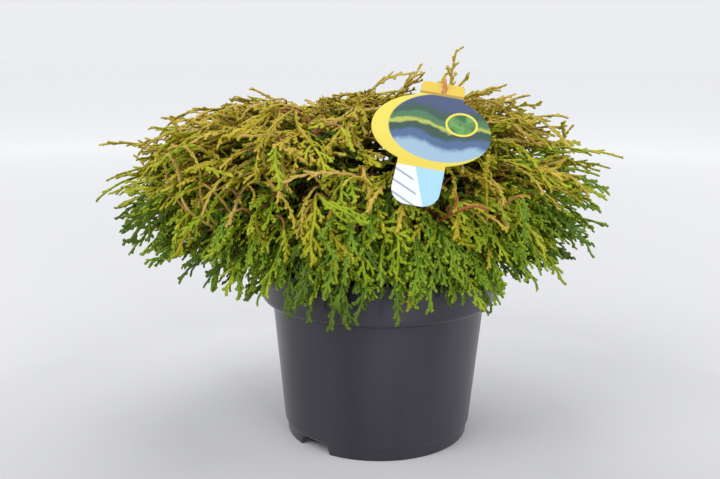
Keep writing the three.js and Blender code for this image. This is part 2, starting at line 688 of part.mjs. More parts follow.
// The stem starts just clear of its bough's tip and runs through the heart towards the skin.
function stemCurve(mass) {
  const onward = mass.bough.getTangentAt(1);
  const start = mass.bough.getPointAt(1).addScaledVector(onward, GAP);
  const outward = mass.heart.clone().sub(CROWN_CENTRE);
  const direction = new THREE.Vector3(
    outward.x / CROWN_HALF_WIDTH, outward.y / CROWN_HALF_DEPTH, outward.z / CROWN_RISE).normalize();
  const end = mass.heart.clone().lerp(skinPoint(direction), STEM_REACH);
  const turn = start.clone().addScaledVector(onward, start.distanceTo(mass.heart) / 2);
  return new THREE.CubicBezierCurve3(start, turn, mass.heart, end);
}

// Twigs leave the stem in order, the nearest ones first.
function growMass(mass) {
  const stem = stemCurve(mass);
  mass.solid = taperedTube(stem, (run) => STEM_RADIUS * (1 - STEM_TAPER * run), STEM_SIDES, STEM_STEPS);
  for (const { point, heading } of mass.sprigs) {
    growTwig(mass, stem.getPointAt(SPRIG_RUN), point, heading, SPRIG_CROSSING);
  }
  const origin = stem.getPointAt(0);
  mass.tips.sort((a, b) => a.point.distanceTo(origin) - b.point.distanceTo(origin));
  mass.tips.forEach(({ point, heading }, i) => {
    const run = THREE.MathUtils.lerp(...TWIGGED_RUN, i / Math.max(1, mass.tips.length - 1));
    growTwig(mass, stem.getPointAt(run), point, heading, SPRAY_CROSSING);
  });
  if (mass === shareOf(LABEL_CENTRE)) mass.solid = mass.solid.add(hookSolid());
  mass.solid = wholeBody(mass.solid.add(coreSolid(mass))).simplify(SLIVER);
}

// Each tip goes to the mass in whose share the middle of its end spray lies.
function growFoliage() {
  for (const mass of masses) {
    mass.sprigs = [];
    mass.tips = [];
  }
  for (const [x, y, z, dip] of SPRIGS) {
    const point = new THREE.Vector3(x, y, z);
    const heading = dipped(point.clone().sub(CROWN_CENTRE), THREE.MathUtils.degToRad(dip));
    shareOf(behind(point, heading)).sprigs.push({ point, heading });
  }
  for (const direction of twigDirections()) {
    const point = skinPoint(direction);
    const heading = sprayHeading(direction);
    shareOf(behind(point, heading)).tips.push({ point, heading });
  }
  masses.forEach(growMass);
}

growFoliage();

// ---------------------------------------------------------------- materials and the whole plant

function finish(color, roughness) {
  return new THREE.MeshStandardMaterial({ color, roughness, metalness: 0 });
}

const finishes = {
  pot: finish(0x3c3b42, 0.5),
  soil: finish(0x2e2118, 0.95),
  bark: finish(0x8a5a34, 0.85),
  side: finish(0x5f7d24, 0.7),
  upper: finish(0x9a9232, 0.7),
  top: finish(0xa89a3a, 0.7),
  label: finish(0xe6cf3a, 0.35),
};

const plant = new THREE.Group();

function addNode(name, solid, material) {
  const mesh = new THREE.Mesh(geometryOf(solid), material);
  mesh.name = name;
  plant.add(mesh);
}

addNode('pot', potSolid(), finishes.pot);
addNode('growing_medium', soilSolid(), finishes.soil);
addNode('trunk', trunkSolid(), finishes.bark);
for (const mass of masses) {
  addNode(`bough_${mass.name}`, boughSolid(mass), finishes.bark);
  addNode(`foliage_${mass.name}`, mass.solid, finishes[mass.ring]);
}
addNode('plant_label', labelSolid(), finishes.label);

export default plant;
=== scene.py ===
import math

import bpy
import numpy as np
from mathutils import Matrix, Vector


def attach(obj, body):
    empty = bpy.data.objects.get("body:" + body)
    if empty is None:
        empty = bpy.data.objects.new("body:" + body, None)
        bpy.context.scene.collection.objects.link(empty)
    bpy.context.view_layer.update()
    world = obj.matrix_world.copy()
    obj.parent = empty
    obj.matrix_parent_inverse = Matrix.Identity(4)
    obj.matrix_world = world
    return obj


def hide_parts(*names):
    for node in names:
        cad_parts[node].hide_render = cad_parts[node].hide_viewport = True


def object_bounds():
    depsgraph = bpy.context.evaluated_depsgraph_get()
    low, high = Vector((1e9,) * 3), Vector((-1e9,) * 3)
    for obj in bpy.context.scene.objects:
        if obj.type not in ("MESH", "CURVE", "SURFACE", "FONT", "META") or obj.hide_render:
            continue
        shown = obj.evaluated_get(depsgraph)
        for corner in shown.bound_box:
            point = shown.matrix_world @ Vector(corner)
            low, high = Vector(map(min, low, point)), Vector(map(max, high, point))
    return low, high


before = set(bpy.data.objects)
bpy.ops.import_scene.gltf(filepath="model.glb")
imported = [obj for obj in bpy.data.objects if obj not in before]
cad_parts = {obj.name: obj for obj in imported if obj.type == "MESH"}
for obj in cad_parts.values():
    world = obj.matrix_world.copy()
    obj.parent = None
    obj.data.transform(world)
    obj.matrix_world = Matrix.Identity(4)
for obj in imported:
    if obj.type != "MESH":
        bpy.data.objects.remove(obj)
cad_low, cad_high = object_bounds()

# Dwarf hinoki cypress in its nursery pot: foliage, bark, pot, growing medium and label.
# Metres, +Z up, the origin at the centre of the pot's underside, -Y the side the label faces.

MM = 0.001
TURN = 2 * math.pi
UP = np.array([0.0, 0.0, 1.0])
GOLDEN_ANGLE = math.pi * (3 - math.sqrt(5))
dice = np.random.default_rng(2024)

# ------------------------------------------------------------------ sizes of the solids

POT_HEIGHT = 178 * MM
POT_FOOT_RADIUS = 91.7 * MM
POT_WAIST_RADIUS = 94.6 * MM
POT_NECK_RADIUS = 106.2 * MM
POT_COLLAR_RADIUS = 117.2 * MM
POT_RIM_RADIUS = 119 * MM
POT_WALL = 2.2 * MM
COLLAR_BOTTOM = 136.5 * MM
FOOT_STEP = 13 * MM
CHANNEL_RADIUS = 70 * MM
CHANNEL_HEIGHT = 9 * MM
BASE_TOP = 12 * MM
DRAINS = 2
DRAIN_WIDTH = 38 * MM
DRAIN_HEIGHT = 11.4 * MM
DRAIN_TURN = math.radians(229)
SOIL_TOP = 152 * MM
POT_CLEARANCE = 2.5 * MM              # kept free of sprays round the pot
POT_SEGMENTS = 224
SOIL_SEGMENTS, SOIL_RINGS = 160, 46

TRUNK_BENDS = np.array([[0, 0, 152.3], [-1, 1, 164], [-4, 3, 188], [-6, 6, 214]]) * MM
TRUNK_FOOT = TRUNK_BENDS[0, 2]
TRUNK_FORK = TRUNK_BENDS[-1, 2]
FLARE_RADIUS = 21 * MM
TRUNK_RADIUS = 13.5 * MM
FORK_RADIUS = 9.5 * MM
FLARE_SHARE = 0.3                     # of the trunk's height

CROWN_CENTRE = np.array([-20, 4, 232]) * MM
HALF_WIDTH = 252 * MM
HALF_DEPTH = 163 * MM
RISE = 112 * MM
DROP = 92 * MM
SQUARENESS = 2.5
SKIRT_SQUARENESS = 5

SIDE_MASSES = 9
SIDE_REACH = 0.6
SIDE_HEIGHT = 222 * MM
UPPER_MASSES = 5
UPPER_REACH = 0.42
UPPER_HEIGHT = 296 * MM
TOP_HEIGHT = 300 * MM
SIDE_WHORLS = np.array([172, 181, 190]) * MM
UPPER_WHORL = 202 * MM
KNEE_PLACE = 0.55                     # along a bough's line
KNEE_RISE = {"side": 0.75, "upper": 0.2, "top": 0.5}
BOUGH_ENTRY = 8 * MM
BOUGH_RADIUS = 4.2 * MM
BOUGH_TIP_RADIUS = 2.6 * MM
STEM_RADIUS = 2.8 * MM
STEM_REACH = 0.4
SKIRT_LEVEL = -0.9
SKIRT_DIP = np.radians([34, 76])      # at the crown's ends, and at its front and back
TOP_DIP = np.radians([-20, -8])

LABEL_CENTRE = np.array([44.3, -100, 312.7]) * MM
LABEL_SLOPE = math.radians(52)
LABEL_TURN = math.radians(-11)
LABEL_OVAL = np.array([52, 36.5]) * MM
LABEL_TAB = (3 * MM, 25 * MM), (19.5 * MM, 25 * MM), 5 * MM         # centre, half size and corner
LABEL_TONGUE = (-2 * MM, -38 * MM), (20.5 * MM, 38 * MM), 15 * MM   # the same of the tongue
LABEL_HALF_THICKNESS = 0.45 * MM
LABEL_MARGIN = 7 * MM                 # kept free of sprays round its outline
LABEL_SPACE = (-6 * MM, 60 * MM)      # kept free of sprays behind and before its face
SLOT_CENTRE = np.array([4.2, 43]) * MM
SLOT_HALF = np.array([2.5, 3.7]) * MM
HOOK_RISE = np.array([0.04, -0.26, 0.96])

RED_FORK = np.array([                 # control points of the two arms of a bare bright twig
    [[44, -80, 226], [56, -130, 236], [72, -140, 256], [62, -138, 266]],
    [[52, -104, 234], [62, -138, 246], [76, -146, 260], [92, -138, 250]],
]) * MM

# Tips of the longest sprigs in millimetres, and the dip of each in degrees.
SPRIGS = np.array([
    # the leader and the raised middle
    [73, -52, 382, -87], [24, 10, 360, -35], [38, -8, 363, -60], [-45, -20, 350, -25],
    # behind the label
    [36, -22, 358, -50], [50, -26, 362, -64], [64, -22, 361, -72], [84, -30, 358, -58],
    [100, -22, 349, -44],
    # the right shoulder and the left one
    [112, -10, 345, -30], [128, -20, 342, -26], [146, 10, 339, -24], [152, -20, 332, -15],
    [-128, 0, 342, -35], [-140, -20, 336, -25], [-144, 10, 344, -22], [-221, 20, 314, -15],
    # the left arm and the right one
    [-279, 0, 287, -4], [-266, -15, 256, 10], [-273, -30, 236, 22], [-264, 10, 234, 18],
    [-258, -20, 216, 26], [-252, 20, 206, 30], [-240, -50, 188, 40],
    [125, 20, 348, -22], [181, 0, 318, -12], [236, 0, 279, 2], [222, -10, 268, 4],
    [230, 10, 250, 12], [218, -25, 244, 12], [222, 30, 258, 6], [206, -40, 192, 40],
    # the front, the skirt and the back
    [142, -92, 170, 42], [-24, -104, 300, 25], [-42, -116, 284, 30], [54, -133, 160, 66],
    [-31, -140, 143, 74], [-62, -158, 168, 66], [-140, -120, 171, 40],
    [-60, 160, 160, 66], [60, 158, 152, 66], [42, 56, 320, -8], [14, 70, 324, -10],
    # before the left arm
    [-200, -40, 276, 12], [-180, -62, 268, 22], [-158, -82, 262, 26], [-178, -70, 246, 30],
    [-150, -92, 240, 34], [-128, -98, 268, 22], [-216, -36, 260, 16], [-140, -84, 286, 12],
    [-196, -60, 240, 30],
], float)

# The crown's top line across its width: level of the highest growth at each x, with the leader's peak.
TOP_LINE = np.array([
    [-285, 296], [-228, 312], [-195, 322], [-165, 334], [-142, 348], [-115, 341], [-88, 333],
    [-68, 330], [-48, 337], [-28, 344], [-6, 349], [15, 360], [30, 366], [45, 366], [52, 360],
    [56, 386], [90, 386], [94, 352], [135, 349], [162, 341], [182, 320], [222, 292], [245, 284],
]) * MM

# The level down to which the growth hangs at each x, beside the pot.
HANG_LINE = np.array([
    [-290, 184], [-250, 188], [-224, 176], [-195, 162], [-163, 146], [-136, 138], [-119, 132],
    [-112, 100], [98, 100], [106, 150], [125, 160], [150, 163], [185, 172], [206, 186], [240, 205],
]) * MM

# ------------------------------------------------------------------ sizes of the finer growth

OUTER_TWIGS = 320
SHORT_TWIGS = 280
INNER_TWIGS = 240
CORE_TWIGS = 80
SKIRT_TWIGS = 104
RIM_TWIGS = 84
SHOOT_TWIGS = 210
TUFT_TWIGS = 26
RIM_RAISE = 16 * MM                   # of the rim's twigs above the skirt's
TWIG_RADIUS = 1.15 * MM
TWIG_RINGS, TWIG_SIDES = 17, 5
STEM_RINGS, STEM_SIDES = 16, 8
BOUGH_RINGS, BOUGH_SIDES = 26, 14
TRUNK_RINGS, TRUNK_SIDES = 44, 40
BARK_SHRINK = 0.97                    # of the radii, as the bark's ridges stand out of them
SPRAY_LENGTHS = (50 * MM, 84 * MM)
SHORT_LENGTHS = (28 * MM, 46 * MM)
SKIRT_LENGTHS = (40 * MM, 64 * MM)
SHOOT_LENGTHS = (50 * MM, 88 * MM)
TUFT_LENGTHS = (22 * MM, 36 * MM)
SPRIG_LENGTH = 70 * MM
POLE_POWER = 1.2
FAN_SHARE = 0.55                      # of the outer twigs; the others end in plumes
DIRECTION_SPREAD = 0.045              # by chance, of a unit direction to the skin

# The skirt's twigs at the crown's ends, and at its front and back: how far they reach past the rim,
# in millimetres, and how steeply they hang, in degrees. Then the lowest level of their tips at the
# rim, and how far that may rise by chance.
SKIRT_REACHES = (26, 80), (6, 26)
SKIRT_TWIG_DIPS = (18, 44), (62, 84)
SKIRT_LOW = 135 * MM
SKIRT_SPREAD = 40 * MM

# The arching shoots: lowest level at the crown's ends and highest of all, as the height of a unit
# direction, the spread of their turn, and the height of their arc as a share of their length.
SHOOT_LEVELS = (0.3, 0.98)
SHOOT_TURN = 0.7
SHOOT_RISE = 0.2

# Spreads by chance of a spray on its twig: its run, lean, turn and roll, and the range of its size.
RUN_SPREAD = 0.05
LEAN_SPREAD = 0.35
TURN_SPREAD = 0.3
ROLL_SPREAD = 0.3
SIZE_RANGE = (0.8, 1.15)
PLUMES_ON_FANS = 0.4                  # share of the sprays on a fan's twig that are plumes

STEP_BACK = 60 * MM
MOST_ARCH = 0.93                      # share of the skin's distance that a bare twig may reach
CORD_WIDTH = 1.55 * MM                # half the width of a leafy cord near its root
CORD_FLATNESS = 0.66
TEMPLATES = 12                        # of each kind of spray
UPRIGHT_DIPS = (-80, -40)             # of the sprigs that end in fans, in degrees
REACH_MARGIN = 3 * MM                 # past the solids' box that a spray may reach
PIECE_QUADS = 92000                   # most quads of one joined piece


def unit(vectors):
    """Each vector divided by its own length."""
    return vectors / np.maximum(np.linalg.norm(vectors, axis=-1, keepdims=True), 1e-12)


def mixed(low, high, share):
    """low at share 0, high at share 1, straight between them."""
    return low + (high - low) * share


def polar(radius, angle, height=0.0):
    """Points at a distance from the Z axis, at an angle round it and at a height."""
    return np.stack(np.broadcast_arrays(radius * np.cos(angle), radius * np.sin(angle), height), -1)


# ------------------------------------------------------------------ meshes from arrays

def fill_mesh(name, vertices, faces, smooth=True, uv=None):
    """A mesh object from an array of corners and a list of index arrays, one for each face size.

    uv, if given, holds one (u, v) pair for each vertex.
    """
    faces = [np.asarray(f, np.int64) for f in faces if len(f)]
    corners = np.concatenate([f.ravel() for f in faces])
    sizes = np.concatenate([np.full(len(f), f.shape[1]) for f in faces])
    mesh = bpy.data.meshes.new(name)
    mesh.vertices.add(len(vertices))
    mesh.vertices.foreach_set("co", np.asarray(vertices, np.float32).ravel())
    mesh.loops.add(len(corners))
    mesh.loops.foreach_set("vertex_index", corners.astype(np.int32))
    mesh.polygons.add(len(sizes))
    mesh.polygons.foreach_set("loop_start", (np.cumsum(sizes) - sizes).astype(np.int32))
    mesh.update(calc_edges=True)
    mesh.polygons.foreach_set("use_smooth", np.full(len(sizes), smooth))
    if uv is not None:
        layer = mesh.uv_layers.new(name="plane")
        layer.data.foreach_set("uv", np.asarray(uv, np.float32)[corners].ravel())
    mesh.validate()
    piece = bpy.data.objects.new(name, mesh)
    bpy.context.scene.collection.objects.link(piece)
    return piece


def closed_rows(index):
    """Quads between neighbouring rows of corner numbers, each row closing on itself."""
    onward = np.roll(index, -1, axis=-1)
    corners = [index[..., :-1, :], onward[..., :-1, :], onward[..., 1:, :], index[..., 1:, :]]
    return np.stack(corners, -1).reshape(-1, 4)


def ring_faces(count, rings, sides):
    """Quads between neighbouring rings of `sides` corners, for `count` tubes laid end to end in the
    vertex array, and one face of `sides` corners over each end.
    """
    index = np.arange(count * rings * sides).reshape(count, rings, sides)
    return [closed_rows(index), np.concatenate([index[:, 0, ::-1], index[:, -1]])]


def tubes(paths, radii, aside, sides, relief=None):
    """Tubes with a round section that follow paths lying in upright planes.

    A corner is path + radius * (cos(angle) * aside + sin(angle) * (tangent x aside)); relief, a
    function of the angle, the run and the tube's number, scales the radius.
    """
    count, rings = paths.shape[:2]
    tangent = unit(np.gradient(paths, axis=1))
    across = np.broadcast_to(aside[:, None], tangent.shape)
    binormal = unit(np.cross(tangent, across))
    angle = np.arange(sides) * TURN / sides
    reach = np.broadcast_to(radii[..., None], (count, rings, sides))
    if relief is not None:
        run = np.linspace(0, 1, rings)[None, :, None]
        reach = reach * relief(angle[None, None], run, np.arange(count)[:, None, None])
    around = np.cos(angle)[:, None] * across[:, :, None] + np.sin(angle)[:, None] * binormal[:, :, None]
    vertices = paths[:, :, None] + reach[..., None] * around
    return vertices.reshape(-1, 3), ring_faces(count, rings, sides)


def lathe(profile, segments, shaped):
    """A closed body turned about the Z axis from a profile of (radius, height) that starts and ends
    on the axis, its last pole at the mean height of the last ring. shaped moves the ring corners: it
    takes and returns an (n, m, 3) array.
    """
    profile = np.asarray(profile)
    angle = np.arange(segments) * TURN / segments
    rings = shaped(polar(profile[1:-1, :1], angle, profile[1:-1, 1:]))
    count = len(rings) * segments
    index = np.arange(count).reshape(len(rings), segments)
    onward = np.roll(index, -1, axis=1)
    poles = np.array([[0, 0, profile[0, 1]], [0, 0, rings[-1, :, 2].mean()]])
    first = np.stack([np.full(segments, count), onward[0], index[0]], -1)
    last = np.stack([np.full(segments, count + 1), index[-1], onward[-1]], -1)
    vertices = np.concatenate([rings.reshape(-1, 3), poles])
    return vertices, [closed_rows(index), np.concatenate([first, last])]


ROUND_STEPS = 4                       # points of each rounded corner


def rounded(profile, radius):
    """The profile with each inner corner rounded by a quadratic curve that starts and ends at
    `radius` from it, or at 45% of the shorter neighbouring side.
    """
    profile = np.asarray(profile, float)
    points = [profile[:1]]
    t = np.linspace(0, 1, ROUND_STEPS)[:, None]
    for before, corner, after in zip(profile, profile[1:], profile[2:]):
        back, ahead = before - corner, after - corner
        reach = min(radius, 0.45 * np.linalg.norm(back), 0.45 * np.linalg.norm(ahead))
        start, end = corner + unit(back) * reach, corner + unit(ahead) * reach
        points.append((1 - t) ** 2 * start + 2 * t * (1 - t) * corner + t ** 2 * end)
    points.append(profile[-1:])
    return np.concatenate(points)


WAVES = 24


def waves(places, size, seed):
    """Smooth uneven values, mostly between -1 and 1: the sum of sine waves of random directions whose
    lengths lie round `size`, over the square root of their number.
    """
    chance = np.random.default_rng(seed)
    directions = unit(chance.normal(size=(WAVES, 3))) * TURN
    directions /= size * chance.uniform(0.5, 1.8, (WAVES, 1))
    phases = chance.uniform(0, TURN, WAVES)
    return np.sin(places @ directions.T + phases).sum(-1) / math.sqrt(WAVES)


# ------------------------------------------------------------------ materials

PRINT_BLUR = 0.01                     # of the print's edges, in its own coordinates
CLOUD_CONTRAST = 1.4                  # of a mottled material


def linear(color):
    """Display values from 0 to 255 as linear light, by the power 2.2."""
    return (*[(channel / 255) ** 2.2 for channel in color], 1.0)


class Shading:
    """Short ways to make the nodes of one tree and join them."""

    def __init__(self, tree):
        self.tree = tree

    def feed(self, socket, value):
        """Links a socket to another node's output, or sets it to a plain value."""
        if isinstance(value, bpy.types.NodeSocket):
            self.tree.links.new(value, socket)
        else:
            socket.default_value = value

    def node(self, kind, inputs, **settings):
        """A node of a kind with its settings, and with inputs fed by their names or numbers."""
        node = self.tree.nodes.new(kind)
        for setting, value in settings.items():
            setattr(node, setting, value)
        for socket, value in inputs.items():
            self.feed(node.inputs[socket], value)
        return node

    def object_place(self):
        """The Object coordinates."""
        return self.node("ShaderNodeTexCoord", {}).outputs["Object"]

    def group(self, tree, **values):
        """A node of a group, with its inputs set."""
        return self.node("ShaderNodeGroup", values, node_tree=tree)

    def ranged(self, value, **ends):
        """A value mapped from one range to another, as a Map Range node's sockets give them."""
        inputs = {socket.replace("_", " "): end for socket, end in ends.items()}
        return self.node("ShaderNodeMapRange", {"Value": value, **inputs}).outputs["Result"]

    def math(self, operation, first, second=0.0, clamp=False):
        """The result of one operation on numbers or outputs."""
        return self.node(
            "ShaderNodeMath", {0: first, 1: second}, operation=operation, use_clamp=clamp).outputs[0]

    def distance(self, operation, *vectors):
        """The LENGTH of a vector, or the DISTANCE between two."""
        inputs = dict(enumerate(vectors))
        return self.node("ShaderNodeVectorMath", inputs, operation=operation).outputs["Value"]

    def paint(self, under, over, mask, blend="MIX"):
        """One colour over another where the mask is 1. Plain colours are display values."""
        under, over = (linear(color) if isinstance(color, tuple) else color for color in (under, over))
        inputs = {"A": under, "B": over, "Factor": mask}
        return self.node("ShaderNodeMix", inputs, data_type="RGBA", blend_type=blend).outputs["Result"]

    def soft_below(self, value, edge, blur):
        """1 below the edge, 0 above it, turning over the blur."""
        return self.math("ADD", self.math("DIVIDE", self.math("SUBTRACT", edge, value), blur), 0.5, True)

    def oval(self, x, y, centre, half):
        """1 inside an oval, where the squares of the offsets over its half sizes come to under 1."""
        squares = [
            self.math("POWER", self.math(
                "ABSOLUTE", self.math("DIVIDE", self.math("SUBTRACT", value, middle), size)), 2.0)
            for value, middle, size in zip((x, y), centre, half)
        ]
        return self.soft_below(self.math("ADD", *squares), 1.0, 2 * PRINT_BLUR / min(half))

    def scaly_bump(self, shader, scale, strength, distance):
        """A bump of small scales on the shader's normal."""
        height = self.group(scales, Scale=scale).outputs["Height"]
        bump = self.node("ShaderNodeBump", {"Strength": strength, "Distance": distance, "Height": height})
        self.feed(shader.inputs["Normal"], bump.outputs["Normal"])


def bare_material(name, color, roughness, **sockets):
    """A material with its Shading and its Principled shader, the colour given as display values."""
    material = bpy.data.materials.new(name)
    material.use_nodes = True
    shader = material.node_tree.nodes["Principled BSDF"]
    shader.inputs["Base Color"].default_value = linear(color)
    shader.inputs["Roughness"].default_value = roughness
    for socket, value in sockets.items():
        shader.inputs[socket.replace("_", " ")].default_value = value
    return material, Shading(material.node_tree), shader


FLOAT, COLOR, VECTOR = "NodeSocketFloat", "NodeSocketColor", "NodeSocketVector"


def new_group(name, inputs, outputs):
    """A shader node group with the named sockets: its Shading, and what it is given and gives."""
    tree = bpy.data.node_groups.new(name, "ShaderNodeTree")
    for socket, (kind, value) in inputs.items():
        made = tree.interface.new_socket(name=socket, in_out="INPUT", socket_type=kind)
        made.default_value = value
    for socket, kind in outputs.items():
        tree.interface.new_socket(name=socket, in_out="OUTPUT", socket_type=kind)
    given, gives = tree.nodes.new("NodeGroupInput"), tree.nodes.new("NodeGroupOutput")
    return Shading(tree), given.outputs, gives.inputs


def mottle_group():
    """Cloudy change between two colours: noise on Object coordinates, its differences drawn out by
    Contrast, and its clouds drawn out along an axis whose Squeeze is under 1.
    """
    draw, given, gives = new_group(
        "mottle",
        {
            "Dark": (COLOR, (0.1, 0.1, 0.1, 1)),
            "Light": (COLOR, (0.2, 0.2, 0.2, 1)),
            "Scale": (FLOAT, 40.0),
            "Contrast": (FLOAT, 2.0),
            "Squeeze": (VECTOR, (1.0, 1.0, 1.0)),
        },
        {"Color": COLOR, "Mask": FLOAT},
    )
    squeezed = draw.node(
        "ShaderNodeVectorMath", {0: draw.object_place(), 1: given["Squeeze"]}, operation="MULTIPLY")
    noise = draw.node("ShaderNodeTexNoise", {
        "Vector": squeezed.outputs["Vector"], "Scale": given["Scale"], "Detail": 4})
    spread = draw.ranged(noise.outputs["Fac"], From_Min=0.3, From_Max=0.7)
    mask = draw.math("POWER", spread, given["Contrast"])
    draw.feed(gives["Color"], draw.paint(given["Dark"], given["Light"], mask))
    draw.feed(gives["Mask"], mask)
    return draw.tree


def scales_group():
    """Height of small overlapping scales: one minus the distance to the nearest cell centre."""
    draw, given, gives = new_group("scales", {"Scale": (FLOAT, 500.0)}, {"Height": FLOAT})
    cells = draw.node("ShaderNodeTexVoronoi", {"Vector": draw.object_place(), "Scale": given["Scale"]})
    draw.feed(gives["Height"], draw.math("SUBTRACT", 1, cells.outputs["Distance"]))
    return draw.tree


mottle = mottle_group()
scales = scales_group()


def mottled_material(name, dark, light, scale, roughness, bump, **sockets):
    """A material whose colour changes cloudily between two, with a bump of small scales given as
    (scale, strength, distance).
    """
    material, draw, shader = bare_material(name, light, roughness, **sockets)
    clouds = draw.group(
        mottle, Dark=linear(dark), Light=linear(light), Scale=scale, Contrast=CLOUD_CONTRAST)
    draw.feed(shader.inputs["Base Color"], clouds.outputs["Color"])
    draw.scaly_bump(shader, *bump)
    return material


# Leaf colours from the crown's dark inside to its golden top, and the tan of its bare-looking cords.
LEAF_COLORS = {
    "inner": ((76, 76, 18), (104, 104, 30)),
    "deep": ((62, 84, 20), (88, 110, 32)),
    "green": ((80, 110, 22), (110, 134, 38)),
    "fresh": ((110, 130, 20), (142, 154, 36)),
    "lime": ((134, 134, 22), (162, 158, 42)),
    "olive_gold": ((141, 130, 29), (170, 152, 49)),
    "gold": ((146, 129, 36), (177, 154, 60)),
    "tan": ((148, 124, 57), (180, 151, 86)),
}
LEAF_NAMES = list(LEAF_COLORS)
INNER, DEEP, GREEN, FRESH, LIME, OLIVE_GOLD, GOLD, TAN = range(len(LEAF_NAMES))

leaf_materials = {
    name: mottled_material(
        f"leaf_{name}", dark, light, 60, 0.55, (640, 0.7, 0.7 * MM), Specular_IOR_Level=0.2)
    for name, (dark, light) in LEAF_COLORS.items()
}

# Wood and growing medium: dark and light colour, scale of the clouds, roughness, and bump.
earthy_materials = {
    name: mottled_material(name, *values)
    for name, values in {
        "twig_bark": ((116, 76, 40), (168, 118, 66), 90, 0.7, (700, 0.4, 0.3 * MM)),
        "red_twig_bark": ((122, 62, 26), (162, 90, 40), 90, 0.7, (700, 0.4, 0.3 * MM)),
        "orange_twig_bark": ((176, 108, 58), (214, 148, 92), 90, 0.7, (700, 0.4, 0.3 * MM)),
        "trunk_bark": ((70, 44, 28), (134, 92, 60), 120, 0.85, (260, 0.6, 0.8 * MM)),
        "medium": ((26, 18, 12), (58, 42, 30), 160, 0.95, (380, 0.8, 1.2 * MM)),
        "bark_chips": ((52, 34, 22), (104, 74, 50), 90, 0.9, (420, 0.5, 0.6 * MM)),
    }.items()
}

# ------------------------------------------------------------------ the crown's rule

def skin(direction):
    """Point of the crown's skin: centre + direction * half size * (across^p + |z|^p)^(-1/p), where p
    is larger below the widest level, most of all at the front and back.
    """
    x, y, z = direction[..., 0], direction[..., 1], direction[..., 2]
    below = z < 0
    power = np.where(below, mixed(SQUARENESS, SKIRT_SQUARENESS, facing(direction)), SQUARENESS)
    size = (np.hypot(x, y) ** power + np.abs(z) ** power) ** (-1 / power)
    return CROWN_CENTRE + direction * half_sizes(below) * size[..., None]


def half_sizes(below):
    """The crown's half width, half depth, and its rise or its drop."""
    level = np.where(below, DROP, RISE)
    return np.stack([np.full_like(level, HALF_WIDTH), np.full_like(level, HALF_DEPTH), level], -1)


def facing(direction):
    """1 where a direction faces the front or back, 0 at the crown's ends: y^2 / (x^2 + y^2)."""
    flat = direction[..., 0] ** 2 + direction[..., 1] ** 2
    return direction[..., 1] ** 2 / (flat + 1e-9)


def share_of_skin(points):
    """Distance from the crown's centre as a share of the skin's in that direction."""
    offset = points - CROWN_CENTRE
    direction = unit(offset / half_sizes(offset[..., 2] < 0))
    return np.linalg.norm(offset, axis=-1) / np.linalg.norm(skin(direction) - CROWN_CENTRE, axis=-1)


def heart_ring(count, reach, height, first):
    """Hearts of a ring of masses, evenly round the crown's centre: centre + half size * reach *
    (cos, sin) of the angle, all at one height.
    """
    angle = first + TURN * np.arange(count) / count
    x = CROWN_CENTRE[0] + HALF_WIDTH * reach * np.cos(angle)
    y = CROWN_CENTRE[1] + HALF_DEPTH * reach * np.sin(angle)
    return np.stack([x, y, np.full(count, height)], -1)


mass_names = [f"side_{k + 1}" for k in range(SIDE_MASSES)]
mass_names += [f"upper_{k + 1}" for k in range(UPPER_MASSES)] + ["top"]
hearts = np.concatenate([
    heart_ring(SIDE_MASSES, SIDE_REACH, SIDE_HEIGHT, -math.pi / 2),
    heart_ring(UPPER_MASSES, UPPER_REACH, UPPER_HEIGHT, math.pi / UPPER_MASSES),
    [[CROWN_CENTRE[0], CROWN_CENTRE[1], TOP_HEIGHT]],
])
bough_levels = np.concatenate([
    SIDE_WHORLS[np.arange(SIDE_MASSES) % len(SIDE_WHORLS)],
    np.full(UPPER_MASSES, UPPER_WHORL),
    [TRUNK_FORK],
])


def nearest_heart(points):
    """Number of the mass in whose share each point lies."""
    return np.linalg.norm(points[..., None, :] - hearts, axis=-1).argmin(-1)


def depth_in_share(points, mass):
    """Distance of each point inside its mass's share, to the nearest plane midway to another heart."""
    own = hearts[mass]
    apart = hearts - own[..., None, :]
    length = np.linalg.norm(apart, axis=-1)
    middle = (hearts + own[..., None, :]) / 2
    depth = ((middle - points[..., None, :]) * apart).sum(-1) / np.maximum(length, 1e-9)
    return np.where(length < 1e-9, np.inf, depth).min(-1)


def trunk_axis(height):
    """Middle of the trunk at a height: the cubic through its foot, its bends and its fork."""
    heights = TRUNK_BENDS[:, 2]
    x = np.polyval(np.polyfit(heights, TRUNK_BENDS[:, 0], 3), height)
    y = np.polyval(np.polyfit(heights, TRUNK_BENDS[:, 1], 3), height)
    return np.stack([x, y, height], -1)


def bezier(points, t):
    """Points of Bezier curves of any degree at t, by repeated straight division."""
    points = points[..., None, :, :]
    t = np.asarray(t)[..., None, None]
    while points.shape[-2] > 1:
        points = points[..., :-1, :] * (1 - t) + points[..., 1:, :] * t
    return points[..., 0, :]


def bough_controls():
    """Control points of each bough: its root in the trunk, its knee, and its tip, where its line to
    the heart is BOUGH_ENTRY deep in its share.
    """
    mass = np.arange(len(hearts))
    roots = trunk_axis(bough_levels)
    shares = np.arange(0.5, 1, 0.02)
    along = roots[:, None] + (hearts - roots)[:, None] * shares[:, None]
    deep = depth_in_share(along, np.repeat(mass[:, None], len(shares), 1)) >= BOUGH_ENTRY
    tips = along[mass, deep.argmax(1)]
    knees = mixed(roots, tips, KNEE_PLACE)
    rise = np.array([KNEE_RISE[name.split("_")[0]] for name in mass_names])
    knees[:, 2] = mixed(roots[:, 2], tips[:, 2], rise)
    return np.stack([roots, knees, tips], 1)


